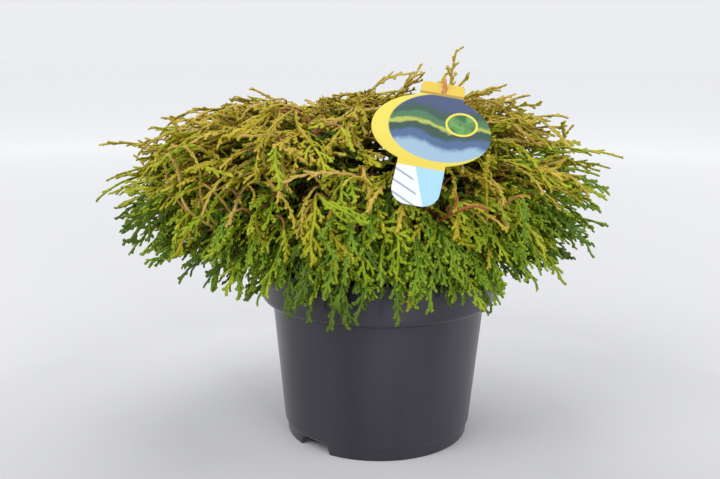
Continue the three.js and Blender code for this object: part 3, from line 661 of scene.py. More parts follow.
def stem_controls(boughs):
    """Control points of each stem: its bough's tip, a point straight on from it by half the way to
    the heart, the heart, and one STEM_REACH of the way from the heart to the skin.
    """
    onward = unit(boughs[:, 2] - boughs[:, 1])
    start = boughs[:, 2]
    outward = unit((hearts - CROWN_CENTRE) / np.array([HALF_WIDTH, HALF_DEPTH, RISE]))
    end = mixed(hearts, skin(outward), STEM_REACH)
    reach = np.linalg.norm(hearts - start, axis=1, keepdims=True) / 2
    return np.stack([start, start + onward * reach, hearts, end], 1)


boughs = bough_controls()
stems = stem_controls(boughs)


def dipped(direction, dip):
    """The level way outward in a direction, turned down by an angle."""
    outward = unit(direction * [1, 1, 0])
    return outward * np.cos(dip)[..., None] - UP * np.sin(dip)[..., None]


def spray_heading(direction):
    """Sprays rise a little at the top, reach out at the ends, and hang at the skirt: the dip is mixed
    by the facing and by the height of the direction.
    """
    rise = np.clip((direction[:, 2] - SKIRT_LEVEL) / (1 - SKIRT_LEVEL), 0, 1)
    front = facing(direction)
    dip = mixed(mixed(*SKIRT_DIP, front), mixed(*TOP_DIP, front), rise)
    return dipped(direction, dip)


def even_directions(count):
    """Directions from the skirt to the top by the golden angle, spread evenly but for a power that
    draws them somewhat closer together at the top and bottom.
    """
    k = np.arange(count)
    t = mixed(SKIRT_LEVEL, 1, (k + 0.5) / count)
    z = np.sign(t) * (1 - (1 - np.abs(t)) ** POLE_POWER)
    ring = np.sqrt(1 - z * z)
    return polar(ring, k * GOLDEN_ANGLE, z)


def label_axes():
    """The label's own right, up and outward directions: a plane leaned back by its slope, and turned
    in itself.
    """
    right = np.array([1.0, 0, 0])
    up = np.array([0, math.cos(LABEL_SLOPE), math.sin(LABEL_SLOPE)])
    c, s = math.cos(LABEL_TURN), math.sin(LABEL_TURN)
    return np.stack([c * right + s * up, c * up - s * right, np.cross(right, up)])


def box_distance(x, y, centre, half, corner):
    """Signed distance to a box with round corners, negative inside."""
    qx = np.abs(x - centre[0]) - half[0] + corner
    qy = np.abs(y - centre[1]) - half[1] + corner
    return np.hypot(np.maximum(qx, 0), np.maximum(qy, 0)) + np.minimum(np.maximum(qx, qy), 0) - corner


def in_label_outline(x, y, grow=0.0):
    """True inside the label: an oval, a tab above it and a tongue with a round end below it."""
    oval = (x / (LABEL_OVAL[0] + grow)) ** 2 + (y / (LABEL_OVAL[1] + grow)) ** 2 < 1
    tab = box_distance(x, y, *LABEL_TAB) < grow
    tongue = box_distance(x, y, *LABEL_TONGUE) < grow
    return oval | tab | tongue


def in_label_space(points):
    """True where a point lies in the label's outline, or before its face, with a small margin."""
    x, y, out = np.moveaxis((points - LABEL_CENTRE) @ label_axes().T, -1, 0)
    return in_label_outline(x, y, LABEL_MARGIN) & (out > LABEL_SPACE[0]) & (out < LABEL_SPACE[1])


def keeps_clear(points):
    """True where a point is outside the pot, its inner space and the label's space."""
    radius = np.hypot(points[..., 0], points[..., 1])
    beside = radius < POT_RIM_RADIUS + POT_CLEARANCE
    return ~(beside & (points[..., 2] < POT_HEIGHT + POT_CLEARANCE)) & ~in_label_space(points)


# ------------------------------------------------------------------ sprays

def arched(points, curl, offsets=None):
    """Bends flat points of unit run into an arc that starts upwards and ends downwards by half of
    curl, its chord kept to the unit length. Offsets, if given, are turned with the arc instead.
    """
    half = curl / 2
    angle = curl * points[..., 0] - half
    if offsets is None:
        scale, rise = half / math.sin(half), points[..., 2]
        x = scale * (np.sin(angle) + math.sin(half)) / curl + rise * np.sin(angle)
        z = scale * (np.cos(angle) - math.cos(half)) / curl + rise * np.cos(angle)
        return np.stack([x, points[..., 1], z], -1)
    x = offsets[..., 0] * np.cos(angle) + offsets[..., 2] * np.sin(angle)
    z = offsets[..., 2] * np.cos(angle) - offsets[..., 0] * np.sin(angle)
    return np.stack([x, offsets[..., 1], z], -1)


def cord_part(centres, widths, curl):
    """Rhombic rings round nearly flat cords that end in a point, bent by curl: each corner is its
    centre plus an offset of +-width to the side or +-width * flatness out of the flat. Gives centres,
    offsets and faces; each pair of the point's four faces is one quad, folded along its ridge.
    """
    count, rings = widths.shape
    tangent = np.gradient(centres, axis=1)
    side = unit(np.stack([-tangent[..., 1], tangent[..., 0], np.zeros_like(widths)], -1))
    flat = np.broadcast_to(np.array([0, 0, CORD_FLATNESS]), side.shape)
    offsets = (np.stack([side, flat, -side, -flat], 2) * widths[..., None, None])[:, :-1]
    spread = np.broadcast_to(centres[:, :-1, None], offsets.shape)
    points = np.concatenate([spread.reshape(-1, 3), centres[:, -1]])
    offsets = np.concatenate([offsets.reshape(-1, 3), np.zeros((count, 3))])
    walls, ends = ring_faces(count, rings - 1, 4)
    last, tip = ends[count:], len(points) - count + np.arange(count)
    folded = [np.stack([last[:, k], last[:, (k + 1) % 4], tip, last[:, k - 1]], -1) for k in (1, 3)]
    faces = np.concatenate([walls, ends[:count], *folded])
    return arched(points, curl), arched(points, curl, offsets), faces


def alternating(count, swing):
    """1 - swing and 1 + swing in turn, like the beads that scale leaves make along a cord."""
    return np.where(np.arange(count) % 2 == 0, 1 - swing, 1 + swing)


def beaded(base, tip, count, runs):
    """Widths of cords from base to tip, swelling and narrowing from ring to ring like scale leaves,
    and somewhat over the tip's width before the point.
    """
    widths = mixed(base, tip, runs) * alternating(len(runs), 0.14)
    widths[-2] = tip * 1.08
    return np.tile(widths, (count, 1))


def branch_off(starts, bearing, lengths, sign, curl, runs):
    """Flat cords that leave `starts` at a bearing and curl back towards it:
    start + length * t * (cos, sin)(bearing + sign * (open - curl * t)).
    """
    angle = bearing[:, None] + sign[:, None] * (curl[0] - curl[1] * runs)
    return starts[:, None] + polar(lengths[:, None] * runs, angle)


# Where the rings of a spray's axis, its side cords and its end cords lie along them.
FINE_RUNS = (
    np.append(np.linspace(0, 0.96, 9), 1.0),
    np.array([0, 0.3, 0.6, 0.88, 1.0]),
    np.array([0, 0.74, 1.0]),
)
PLAIN_RUNS = (np.array([0, 0.33, 0.66, 1.0]), np.array([0, 0.5, 1.0]), np.array([0, 1.0]))


def spray_template(cords, fan, curl, forks, runs):
    """One spray of unit length: an axis, side cords in turn left and right, and short cords on them.
    The axis runs along bend * x^2 with a slight sway, and the cords sink by half the square of their
    distance from it. Returns the axis, the side cords and the end cords, each as
    (centres, offsets, faces).
    """
    axis_runs, side_runs, end_runs = runs
    bend = dice.uniform(-0.16, 0.16)
    sway = bend * axis_runs ** 2 + 0.014 * np.sin(9 * axis_runs + dice.uniform(0, 6))
    axis = np.stack([axis_runs, sway - sway[0], np.zeros_like(sway)], -1)
    sides, lengths, sign = side_cords(axis, bend, cords, fan, side_runs)
    ends = end_cords(sides, lengths, sign, forks, side_runs, end_runs)
    for cord in (sides, ends):
        cord[..., 2] -= 0.5 * (cord[..., 1] - bend * cord[..., 0] ** 2) ** 2
    return (
        cord_part(axis[None], beaded(1.1, 0.9, 1, axis_runs), curl),
        cord_part(sides, beaded(0.95, 0.9, cords, side_runs), curl),
        cord_part(ends, beaded(0.86, 0.92, len(ends), end_runs), curl),
    )


def side_cords(axis, bend, cords, fan, runs):
    """Cords in turn left and right of an axis bent as bend * x^2. Their lengths are
    fan * (1 - x)^0.7 + 0.055, shorter near the root, and by chance they are longer or shorter and
    their ends rise or fall.
    """
    at = np.linspace(0.14, 0.94, cords) + dice.uniform(-0.02, 0.02, cords)
    roots = np.stack([at, np.interp(at, axis[:, 0], axis[:, 1]), np.zeros(cords)], -1)
    sign = (1 if dice.random() < 0.5 else -1) * (-1.0) ** np.arange(cords)
    lengths = (fan * (1 - at) ** 0.7 + 0.055) * dice.uniform(0.6, 1.25, cords)
    lengths *= np.where(at < 0.25, 0.7, 1)
    opening = (dice.uniform(0.62, 0.92), dice.uniform(0.25, 0.55))
    sides = branch_off(roots, np.arctan2(2 * bend * at, 1), lengths, sign, opening, runs)
    sides[..., 2] += (lengths * dice.uniform(-0.3, 0.3, cords))[:, None] * runs ** 1.5
    return sides, lengths, sign


def end_cords(sides, lengths, sign, forks, side_runs, runs):
    """Short cords that leave the longer side cords at the runs of the forks, in turn on either side.
    Their roots lie on the straight stretches between the side cords' rings, and a few are left out.
    """
    parents = np.repeat(np.arange(len(sides)), len(forks))
    t = np.tile(forks, len(sides))
    lower = np.searchsorted(side_runs, t, side="right") - 1
    step = ((t - side_runs[lower]) / (side_runs[lower + 1] - side_runs[lower]))[:, None]
    ahead = sides[parents, lower + 1] - sides[parents, lower]
    starts = sides[parents, lower] + ahead * step
    bearing = np.arctan2(ahead[:, 1], ahead[:, 0])
    turn = np.tile((-1.0) ** (1 + np.arange(len(forks))), len(sides)) * sign[parents]
    short = np.maximum(lengths[parents] * (1 - t * 0.5) * 0.4, 0.055) * dice.uniform(0.7, 1.25, len(t))
    kept = (lengths[parents] > 0.09) & (dice.random(len(t)) < 0.88)
    return branch_off(starts[kept], bearing[kept], short[kept], turn[kept], (0.8, 0.25), runs)


# Ranges of the curl that a spray's arc may have.
CURLS = ((0.2, 0.7), (0.3, 1.0), (0.8, 1.6))
# Each kind of spray: its side cords, the range of its fan, its place in CURLS, its forks and its rings.
SPRAY_KINDS = [
    (8, (0.36, 0.5), 0, [0.34, 0.56, 0.76], FINE_RUNS),      # broad fans
    (9, (0.17, 0.26), 1, [0.42, 0.7], FINE_RUNS),            # narrow plumes
    (11, (0.05, 0.12), 2, [0.5, 0.75], FINE_RUNS),           # long shoots with stubby side cords
    (8, (0.3, 0.42), 0, [0.4, 0.7], PLAIN_RUNS),             # plainer fans for the crown's inside
]
FAN, PLUME, SHOOT, INSIDE = range(len(SPRAY_KINDS))
MEAN_CURL = np.array([np.mean(CURLS[curl]) for _, _, curl, _, _ in SPRAY_KINDS])


def make_templates():
    """A list of sprays for each kind, with a curl by chance for each round of them."""
    made = [[] for _ in SPRAY_KINDS]
    for _ in range(TEMPLATES):
        curls = [dice.uniform(*curl) for curl in CURLS]
        for sprays_of_kind, (cords, fan, curl, forks, runs) in zip(made, SPRAY_KINDS):
            sprays_of_kind.append(spray_template(cords, dice.uniform(*fan), curls[curl], forks, runs))
    return made


templates = make_templates()


def rows_of_twigs(tips, heading, length, kind):
    """Twigs from the stems to the roots of the sprays that carry them on: quadratic curves that end
    in the direction in which the spray starts. Each starts where its stem passes nearest to a point
    between its mass's heart and a step back from its own end. Shoots that would turn back are left
    out, and all that would arch out of the crown.
    """
    mass = nearest_heart(tips - heading * length[:, None] / 2)
    end = tips - heading * length[:, None]
    pitch = (MEAN_CURL[kind] / 2)[:, None]
    above = np.cross(heading, unit(np.cross(UP, heading)))
    onward = heading * np.cos(pitch) + above * np.sin(pitch)
    along = bezier(stems[mass], np.linspace(0.3, 0.97, 12))
    wanted = mixed(hearts[mass], end - onward * STEP_BACK, 0.5)
    near = np.linalg.norm(along - wanted[:, None], axis=-1).argmin(1)
    start = along[np.arange(len(tips)), near]
    apart = np.linalg.norm(end - start, axis=1)
    turn = ((end - start) * onward).sum(1) / apart
    reach = apart * mixed(0.2, 0.5, np.clip(turn + 0.3, 0, 1))
    curve = np.stack([start, end - onward * reach[:, None], end], 1)
    twigs = {"curve": curve, "mass": mass, "heading": heading, "length": length, "kind": kind}
    arch = share_of_skin(bezier(curve, [0.35, 0.6, 0.85])).max(1)
    chosen = ((kind != SHOOT) | (turn > 0)) & (arch < MOST_ARCH)
    return {key: value[chosen] for key, value in twigs.items()}


def skin_twigs(count, reaches, noise, lengths, inside=False):
    """Twigs to the skin, spread evenly, drawn in to a share `reaches` of its distance."""
    directions = unit(even_directions(count) + dice.normal(0, DIRECTION_SPREAD, (count, 3)))
    reach = dice.uniform(*reaches, count)
    tips = mixed(CROWN_CENTRE, skin(directions), reach[:, None])
    heading = unit(spray_heading(directions) + dice.normal(0, noise, (count, 3)))
    kind = np.full(count, INSIDE) if inside else np.where(dice.random(count) < FAN_SHARE, FAN, PLUME)
    return rows_of_twigs(tips, heading, dice.uniform(*lengths, count), kind)


def sprig_twigs():
    """Twigs to the tips of the longest sprigs; the nearly upright ones behind the label end in fans."""
    tips, dip = SPRIGS[:, :3] * MM, SPRIGS[:, 3]
    heading = dipped(tips - CROWN_CENTRE, np.radians(dip))
    upright = (dip > UPRIGHT_DIPS[0]) & (dip < UPRIGHT_DIPS[1])
    return rows_of_twigs(tips, heading, np.full(len(tips), SPRIG_LENGTH), np.where(upright, FAN, PLUME))


def skirt_twigs(count, raised):
    """Twigs that arch over the rim all round and hang before it, steeper at the front and back."""
    azimuth = TURN * (np.arange(count) + dice.uniform(-0.3, 0.3, count)) / count
    outward = polar(1, azimuth)
    front = facing(outward)
    over = mixed(*[dice.uniform(*reach, count) for reach in SKIRT_REACHES], front) * MM
    low = SKIRT_LOW + raised + 0.5 * over + SKIRT_SPREAD * dice.random(count) ** 1.3
    tips = outward * (POT_RIM_RADIUS + over)[:, None] + UP * low[:, None]
    dip = np.radians(mixed(*[dice.uniform(*dips, count) for dips in SKIRT_TWIG_DIPS], front))
    kind = np.where(dice.random(count) < 0.5, FAN, PLUME)
    return rows_of_twigs(tips, dipped(outward, dip), dice.uniform(*SKIRT_LENGTHS, count), kind)


def shoot_twigs(count, level, reaches, lengths, dips):
    """Twigs to arching shoots over the crown, from a level upwards at the front and back and only
    high up at the ends, turned any way round; the lower ones hang more.
    """
    azimuth = dice.uniform(0, TURN, count)
    lowest = mixed(SHOOT_LEVELS[0], level, np.sin(azimuth) ** 2)
    z = mixed(lowest, SHOOT_LEVELS[1], dice.random(count))
    ring = np.sqrt(1 - z * z)
    directions = polar(ring, azimuth, z)
    tips = mixed(CROWN_CENTRE, skin(directions), dice.uniform(*reaches, count)[:, None])
    outward = polar(1, azimuth + dice.normal(0, SHOOT_TURN, count))
    hang = 45 * np.clip(0.4 - z, 0, 0.8)
    heading = dipped(outward, np.radians(dice.uniform(*dips, count) + hang))
    size = dice.uniform(*lengths, count)
    tips -= UP * (SHOOT_RISE * size * np.maximum(z, 0))[:, None]
    return rows_of_twigs(tips, heading, size, np.full(count, SHOOT))


def spray_rows(twigs, places):
    """Sprays on every twig: for each place (run along the twig, turn aside, roll, length share) the
    root lies on the twig, and the spray is turned in its flat, then rolled about its own length.
    """
    rows = []
    count = len(twigs["mass"])
    upright = unit(np.cross(UP, twigs["heading"]))
    for run, turn, roll, share in places:
        last = run == 1
        runs = np.ones(count)
        if not last:
            runs = np.clip(run + dice.uniform(-RUN_SPREAD, RUN_SPREAD, count), 0, 1)
        root = bezier(twigs["curve"], runs[:, None])[:, 0]
        lean = dice.normal(0, LEAN_SPREAD, (count, 1))
        face = np.cross(twigs["heading"], upright)
        across = upright * np.cos(lean) + face * np.sin(lean)
        turned = 0.0 if last else turn + dice.uniform(-TURN_SPREAD, TURN_SPREAD, (count, 1))
        along = twigs["heading"] * np.cos(turned) + across * np.sin(turned)
        across = across * np.cos(turned) - twigs["heading"] * np.sin(turned)
        rolled = roll + dice.normal(0, ROLL_SPREAD, (count, 1))
        across = across * np.cos(rolled) + np.cross(along, across) * np.sin(rolled)
        size = 1 if last else share * dice.uniform(*SIZE_RANGE, count)
        kind = twigs["kind"]
        if not last:
            kind = np.where((kind == FAN) & (dice.random(count) < PLUMES_ON_FANS), PLUME, kind)
        rows.append({
            "root": root, "along": along, "across": across, "length": twigs["length"] * size,
            "mass": twigs["mass"], "kind": kind, "twig": twigs["number"], "run": runs,
        })
    return {key: np.concatenate([row[key] for row in rows]) for key in rows[0]}


# Points of a spray that are tried against what it keeps clear of: its root, middle, sides and tip.
PROBES = np.array([
    [0, 0, 0], [0.25, 0, 0.75], [0.5, 0, 1], [0.75, 0, 0.75], [1, 0, 0], [0.3, 0.2, 0.7],
    [0.3, -0.2, 0.7], [0.5, 0.34, 0.5], [0.5, -0.34, 0.5], [0.65, 0.24, 0.4], [0.65, -0.24, 0.4],
    [0.8, 0.2, 0], [0.8, -0.2, 0],
])
PROBE_SPREAD = np.array([1.0, 0.6, 0.35, 0.9])    # of the sides, for each kind of spray
PROBE_RISE = np.array([0.06, 0.09, 0.16, 0.06])   # of the arched middle


def kept_sprays(sprays, stray):
    """The sprays that keep to their share within `stray`, clear of pot and label, under the top line,
    over the hang line and within the solids' reach.
    """
    kind = sprays["kind"]
    face = np.cross(sprays["along"], sprays["across"])
    frames = np.stack([sprays["along"], sprays["across"], face], 1)
    frames[:, 1] *= PROBE_SPREAD[kind][:, None]
    frames[:, 2] *= PROBE_RISE[kind][:, None]
    probes = np.einsum("pk,skj->spj", PROBES, frames)
    points = sprays["root"][:, None] + sprays["length"][:, None, None] * probes
    mass = np.repeat(sprays["mass"][:, None], points.shape[1], 1)
    in_share = depth_in_share(points, mass) > -stray
    low, high = np.array(cad_low) - REACH_MARGIN, np.array(cad_high) + REACH_MARGIN
    in_reach = (points > low) & (points < high)
    under = points[..., 2] < np.interp(points[..., 0], TOP_LINE[:, 0], TOP_LINE[:, 1])
    in_line = under & (points[..., 2] > np.interp(points[..., 0], HANG_LINE[:, 0], HANG_LINE[:, 1]))
    good = keeps_clear(points).all(1) & in_share.all(1) & in_reach.all((1, 2)) & in_line.all(1)
    return {key: value[good] for key, value in sprays.items()}


# Sprays along each kind of twig: run along the twig, turn aside, roll, and share of its length.
OUTER_PLACES = [(1, 0, 0, 1), (0.86, 0.75, 0.1, 0.85), (0.72, -0.8, -0.1, 0.85)]
INNER_PLACES = [(1, 0, 0, 1), (0.8, 0.9, 0.2, 0.9), (0.65, -0.9, -0.2, 0.9)]
SPRIG_PLACES = [(1, 0, 0, 1), (0.9, 0.6, 0.1, 0.6), (0.8, -0.6, -0.1, 0.6), (0.6, 0.7, 0.3, 0.7)]
SKIRT_PLACES = [(1, 0, 0, 1), (0.9, 0.55, 0.1, 0.85), (0.8, -0.6, -0.1, 0.85)]
SHOOT_PLACES = [(1, 0, 0, 1), (0.86, 0.8, 0.4, 0.7), (0.7, -0.8, -0.3, 0.65)]
TUFT_PLACES = [(1, 0, 0, 1)]

# How far a spray may reach out of its mass's share: evenly spread ones, and the rest.
EVEN_STRAY = 16 * MM
FREE_STRAY = 30 * MM


def grow_crown():
    """All twigs, and the sprays on them that fit."""
    crops = [
        (skin_twigs(OUTER_TWIGS, (0.83, 0.98), 0.22, SPRAY_LENGTHS), OUTER_PLACES, EVEN_STRAY),
        (skin_twigs(SHORT_TWIGS, (0.84, 0.96), 0.3, SHORT_LENGTHS), TUFT_PLACES, EVEN_STRAY),
        (skin_twigs(INNER_TWIGS, (0.62, 0.8), 0.3, SPRAY_LENGTHS, inside=True), INNER_PLACES, EVEN_STRAY),
        (skin_twigs(CORE_TWIGS, (0.42, 0.6), 0.4, SPRAY_LENGTHS, inside=True), INNER_PLACES, EVEN_STRAY),
        (sprig_twigs(), SPRIG_PLACES, FREE_STRAY),
        (skirt_twigs(SKIRT_TWIGS, 0.0), SKIRT_PLACES, FREE_STRAY),
        (skirt_twigs(RIM_TWIGS, RIM_RAISE), SKIRT_PLACES, FREE_STRAY),
        (shoot_twigs(SHOOT_TWIGS, -0.35, (0.86, 0.98), SHOOT_LENGTHS, (0, 40)), SHOOT_PLACES, FREE_STRAY),
        (shoot_twigs(TUFT_TWIGS, 0.6, (1.0, 1.06), TUFT_LENGTHS, (-75, -35)), TUFT_PLACES, FREE_STRAY),
    ]
    grown, first = [], 0
    for twigs, places, stray in crops:
        twigs["number"] = first + np.arange(len(twigs["mass"]))
        first += len(twigs["mass"])
        grown.append(kept_sprays(spray_rows(twigs, places), stray))
    curves = np.concatenate([twigs["curve"] for twigs, _, _ in crops])
    return curves, {key: np.concatenate([part[key] for part in grown]) for key in grown[0]}


twig_curves, sprays = grow_crown()

# A spray's tone: its value at the skirt, its climb to the top, its fall at the crown's ends and its
# spread by chance; for the shoots, what they gain, the range that they are raised to, and its fall.
TONE_AT_SKIRT = 1.1
TONE_CLIMB = 5.3
TONE_FALL = 1.0
TONE_SPREAD = 0.8
SHOOT_GAIN = 0.6
SHOOT_TONES = (3.6, 6.4)
SHOOT_FALL = 1.5
SHADED_SHARE = 0.74                   # of the skin's distance, under which a tip counts as shaded

# Shares of the golden sprays with a tan axis, of the lime ones with an olive-gold axis, of the golden
# shoots with tan side cords, and of both with greener ends.
TAN_AXES = 0.5
OLIVE_AXES = 0.4
TAN_SIDES = 0.3
GREENER_ENDS = 0.55

# Shares of the arching shoots' twigs that are bright, and that are tan, and of the other twigs that
# are brown.
BRIGHT_TWIGS = 0.7
TAN_TWIGS = 0.3
BROWN_TWIGS = 0.88


def deal_tones(sprays):
    """Each spray's place in LEAF_NAMES: more golden with the height of its tip, greener towards the
    crown's ends, with chance; shoots are golden, and sprays whose tip lies deep in the crown dark.
    """
    tip = sprays["root"] + sprays["along"] * sprays["length"][:, None]
    height = (tip[:, 2] - (CROWN_CENTRE[2] - DROP)) / (RISE + DROP)
    count = len(tip)
    ends = np.clip(np.abs(tip[:, 0] - CROWN_CENTRE[0]) / HALF_WIDTH, 0, 1) ** 3
    score = TONE_AT_SKIRT + TONE_CLIMB * height - TONE_FALL * ends + dice.normal(0, TONE_SPREAD, count)
    golden = np.maximum(score + SHOOT_GAIN, dice.uniform(*SHOOT_TONES, count) - SHOOT_FALL * ends)
    score = np.where(sprays["kind"] == SHOOT, golden, score)
    tone = np.clip(np.round(score), DEEP, GOLD).astype(int)
    deep = dice.integers(INNER, GREEN + 1, count)
    return np.where(share_of_skin(tip) < SHADED_SHARE, np.minimum(tone, deep), tone)


def part_tones(tones, kinds):
    """Tones of a spray's axis, side cords and end cords: golden sprays have a tan axis and greener
    ends, and green ones have paler ends.
    """
    chance = dice.random(len(tones))
    axis = np.where((tones >= OLIVE_GOLD) & (chance < TAN_AXES), TAN, tones)
    axis = np.where((tones == LIME) & (chance < OLIVE_AXES), OLIVE_GOLD, axis)
    sides = np.where((kinds == SHOOT) & (tones == GOLD) & (chance < TAN_SIDES), TAN, tones)
    greener = np.where(chance < GREENER_ENDS, tones - 1, tones)
    ends = np.where(tones >= LIME, greener, np.minimum(tones + 1, FRESH))
    return axis, sides, np.where(tones <= DEEP, tones, ends)


def place_sprays(chosen, template, heap, tones):
    """The corners and faces of every chosen spray of one template, put into the heap by tone. A corner
    is root + length * centre + CORD_WIDTH * offset, centre and offset turned to the spray's axes.
    """
    for (centres, offsets, faces), part_tone in zip(template, tones):
        for tone in np.unique(part_tone[chosen]):
            picked = chosen[part_tone[chosen] == tone]
            face = np.cross(sprays["along"][picked], sprays["across"][picked])
            frames = np.stack([sprays["along"][picked], sprays["across"][picked], face], 1)
            middles = sprays["length"][picked][:, None, None] * np.einsum("vk,skj->svj", centres, frames)
            around = CORD_WIDTH * np.einsum("vk,skj->svj", offsets, frames)
            vertices = sprays["root"][picked][:, None] + middles + around
            shifted = faces[None] + (len(centres) * np.arange(len(picked)))[:, None, None]
            batch = vertices.reshape(-1, 3), shifted.reshape(-1, 4)
            heap.setdefault(LEAF_NAMES[tone], []).append(batch)


def join_heap(name, items):
    """Pieces of at most PIECE_QUADS quads from a list of (corners, faces)."""
    pieces, batch, total = [], [], 0
    for item in items + [None]:
        if item is None or (batch and total + len(item[1]) > PIECE_QUADS):
            starts = np.cumsum([0] + [len(vertices) for vertices, _ in batch])
            faces = np.concatenate([f + s for (_, f), s in zip(batch, starts)])
            corners = np.concatenate([vertices for vertices, _ in batch])
            pieces.append(fill_mesh(f"{name}_{len(pieces) + 1}", corners, [faces]))
            batch, total = [], 0
        if item is not None:
            batch.append(item)
            total += len(item[1])
    return pieces


foliage_nodes = [f"foliage_{name}" for name in mass_names]


def dress_foliage():
    """The leafy sprays, joined by colour, in place of the masses' plain solids."""
    tones = part_tones(deal_tones(sprays), sprays["kind"])
    which = dice.integers(0, TEMPLATES, len(sprays["kind"]))
    heap = {}
    for kind, kinds in enumerate(templates):
        for k, template in enumerate(kinds):
            place_sprays(np.flatnonzero((which == k) & (sprays["kind"] == kind)), template, heap, tones)
    for name, items in heap.items():
        for piece in join_heap(f"leaves_{name}", items):
            piece.data.materials.append(leaf_materials[name])
            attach(piece, "root")
            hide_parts(*foliage_nodes)


def dress_twigs():
    """Stems and twigs. A twig ends at the root of its furthest spray; most of the arching shoots'
    are tan or golden, and of the others one in eight is red-brown.
    """
    furthest = np.zeros(len(twig_curves))
    np.maximum.at(furthest, sprays["twig"], sprays["run"])
    shooting = np.zeros(len(twig_curves), bool)
    shooting[sprays["twig"][sprays["kind"] == SHOOT]] = True
    chance = dice.random(len(twig_curves))
    run = np.linspace(0, 1, TWIG_RINGS)
    paths = bezier(twig_curves, furthest[:, None] * run)
    radii = np.tile(TWIG_RADIUS * mixed(1.5, 0.9, run) * alternating(TWIG_RINGS, 0.12), (len(paths), 1))
    aside = level_aside(paths)
    carrying = furthest > 0
    bright = carrying & shooting & (chance < BRIGHT_TWIGS)
    dull = carrying & ~bright
    groups = {
        "twigs_tan": (bright & (chance < TAN_TWIGS), leaf_materials["tan"]),
        "twigs_gold": (bright & (chance >= TAN_TWIGS), leaf_materials["olive_gold"]),
        "twigs_red": (dull & (chance > BROWN_TWIGS), earthy_materials["red_twig_bark"]),
        "twigs_brown": (dull & (chance <= BROWN_TWIGS), earthy_materials["twig_bark"]),
    }
    for name, (chosen, material) in groups.items():
        mesh = tubes(paths[chosen], radii[chosen], aside[chosen], TWIG_SIDES)
        dress_bark(name, mesh, material, foliage_nodes)
    thinning = STEM_RADIUS * mixed(1.0, 0.5, np.linspace(0, 1, STEM_RINGS))
    stem_mesh = limb_tubes(stems, thinning, STEM_SIDES)
    dress_bark("stems", stem_mesh, earthy_materials["twig_bark"], foliage_nodes)


def level_aside(paths):
    """The level direction square to each path's chord."""
    return unit(np.cross(UP, paths[:, -1] - paths[:, 0]) + 1e-6)


def limb_tubes(controls, radii, sides, relief=None):
    """Tubes along Bezier curves, with a ring for each of the radii."""
    paths = bezier(controls, np.linspace(0, 1, radii.shape[-1]))
    return tubes(paths, np.broadcast_to(radii, paths.shape[:2]), level_aside(paths), sides, relief)


def dress_bark(name, mesh, material, nodes):
    """A piece of wood from a tube mesh, in place of the nodes' plain solids."""
    piece = fill_mesh(name, *mesh)
    piece.data.materials.append(material)
    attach(piece, "root")
    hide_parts(*nodes)


def bark_relief(angle, run, number):
    """Long fibrous ridges that wind slowly round a limb: sums of sines of its angle and run."""
    twist = 2.2 * run + number
    ridges = 0.05 * np.sin(7 * angle + 5 * twist) + 0.035 * np.sin(13 * angle - 9 * twist)
    knots = 0.04 * np.sin(3 * angle + 31 * run + 2 * number) * np.sin(47 * run + number)
    return 1 + ridges + knots


def dress_limbs():
    """Trunk and boughs, with the bark's relief. Radii narrow evenly along each, and the root flare adds
    its width * (1 - run / FLARE_SHARE)^2 at the trunk's foot.
    """
    heights = np.linspace(TRUNK_FOOT, TRUNK_FORK, TRUNK_RINGS)
    run = (heights - TRUNK_FOOT) / (TRUNK_FORK - TRUNK_FOOT)
    flare = (FLARE_RADIUS - TRUNK_RADIUS) * np.maximum(0, 1 - run / FLARE_SHARE) ** 2
    radii = (mixed(TRUNK_RADIUS, FORK_RADIUS, run) + flare) * BARK_SHRINK
    aside = np.array([[0.0, 1.0, 0.0]])
    trunk = tubes(trunk_axis(heights)[None], radii[None], aside, TRUNK_SIDES, bark_relief)
    base = np.where(np.array(mass_names) == "top", FORK_RADIUS - 1 * MM, BOUGH_RADIUS)
    radii = mixed(base[:, None], BOUGH_TIP_RADIUS, np.linspace(0, 1, BOUGH_RINGS)) * BARK_SHRINK
    limbs = limb_tubes(boughs, radii, BOUGH_SIDES, bark_relief)
    bark = earthy_materials["trunk_bark"]
    dress_bark("trunk_with_bark", trunk, bark, ["trunk"])
    dress_bark("boughs_with_bark", limbs, bark, [f"bough_{name}" for name in mass_names])


dress_foliage()
dress_twigs()
dress_limbs()

# ------------------------------------------------------------------ pot and growing medium

def drained(rings):
    """Raises the corners of the foot ring to a drain's arch: height * (1 - (angle / half)^4)^0.5."""
    radius = np.hypot(rings[..., 0], rings[..., 1])
    angle = np.arctan2(rings[..., 1], rings[..., 0]) - DRAIN_TURN
    spacing = TURN / DRAINS
    angle = (angle + spacing / 2) % spacing - spacing / 2
    across = np.clip(np.abs(angle) * POT_FOOT_RADIUS / (DRAIN_WIDTH / 2), 0, 1)
    arch = DRAIN_HEIGHT * np.sqrt(1 - across ** 4)
    foot = (radius > CHANNEL_RADIUS + 10 * MM) & (rings[..., 2] < FOOT_STEP)
    rings[..., 2] = np.where(foot, np.maximum(rings[..., 2], arch), rings[..., 2])
    return rings


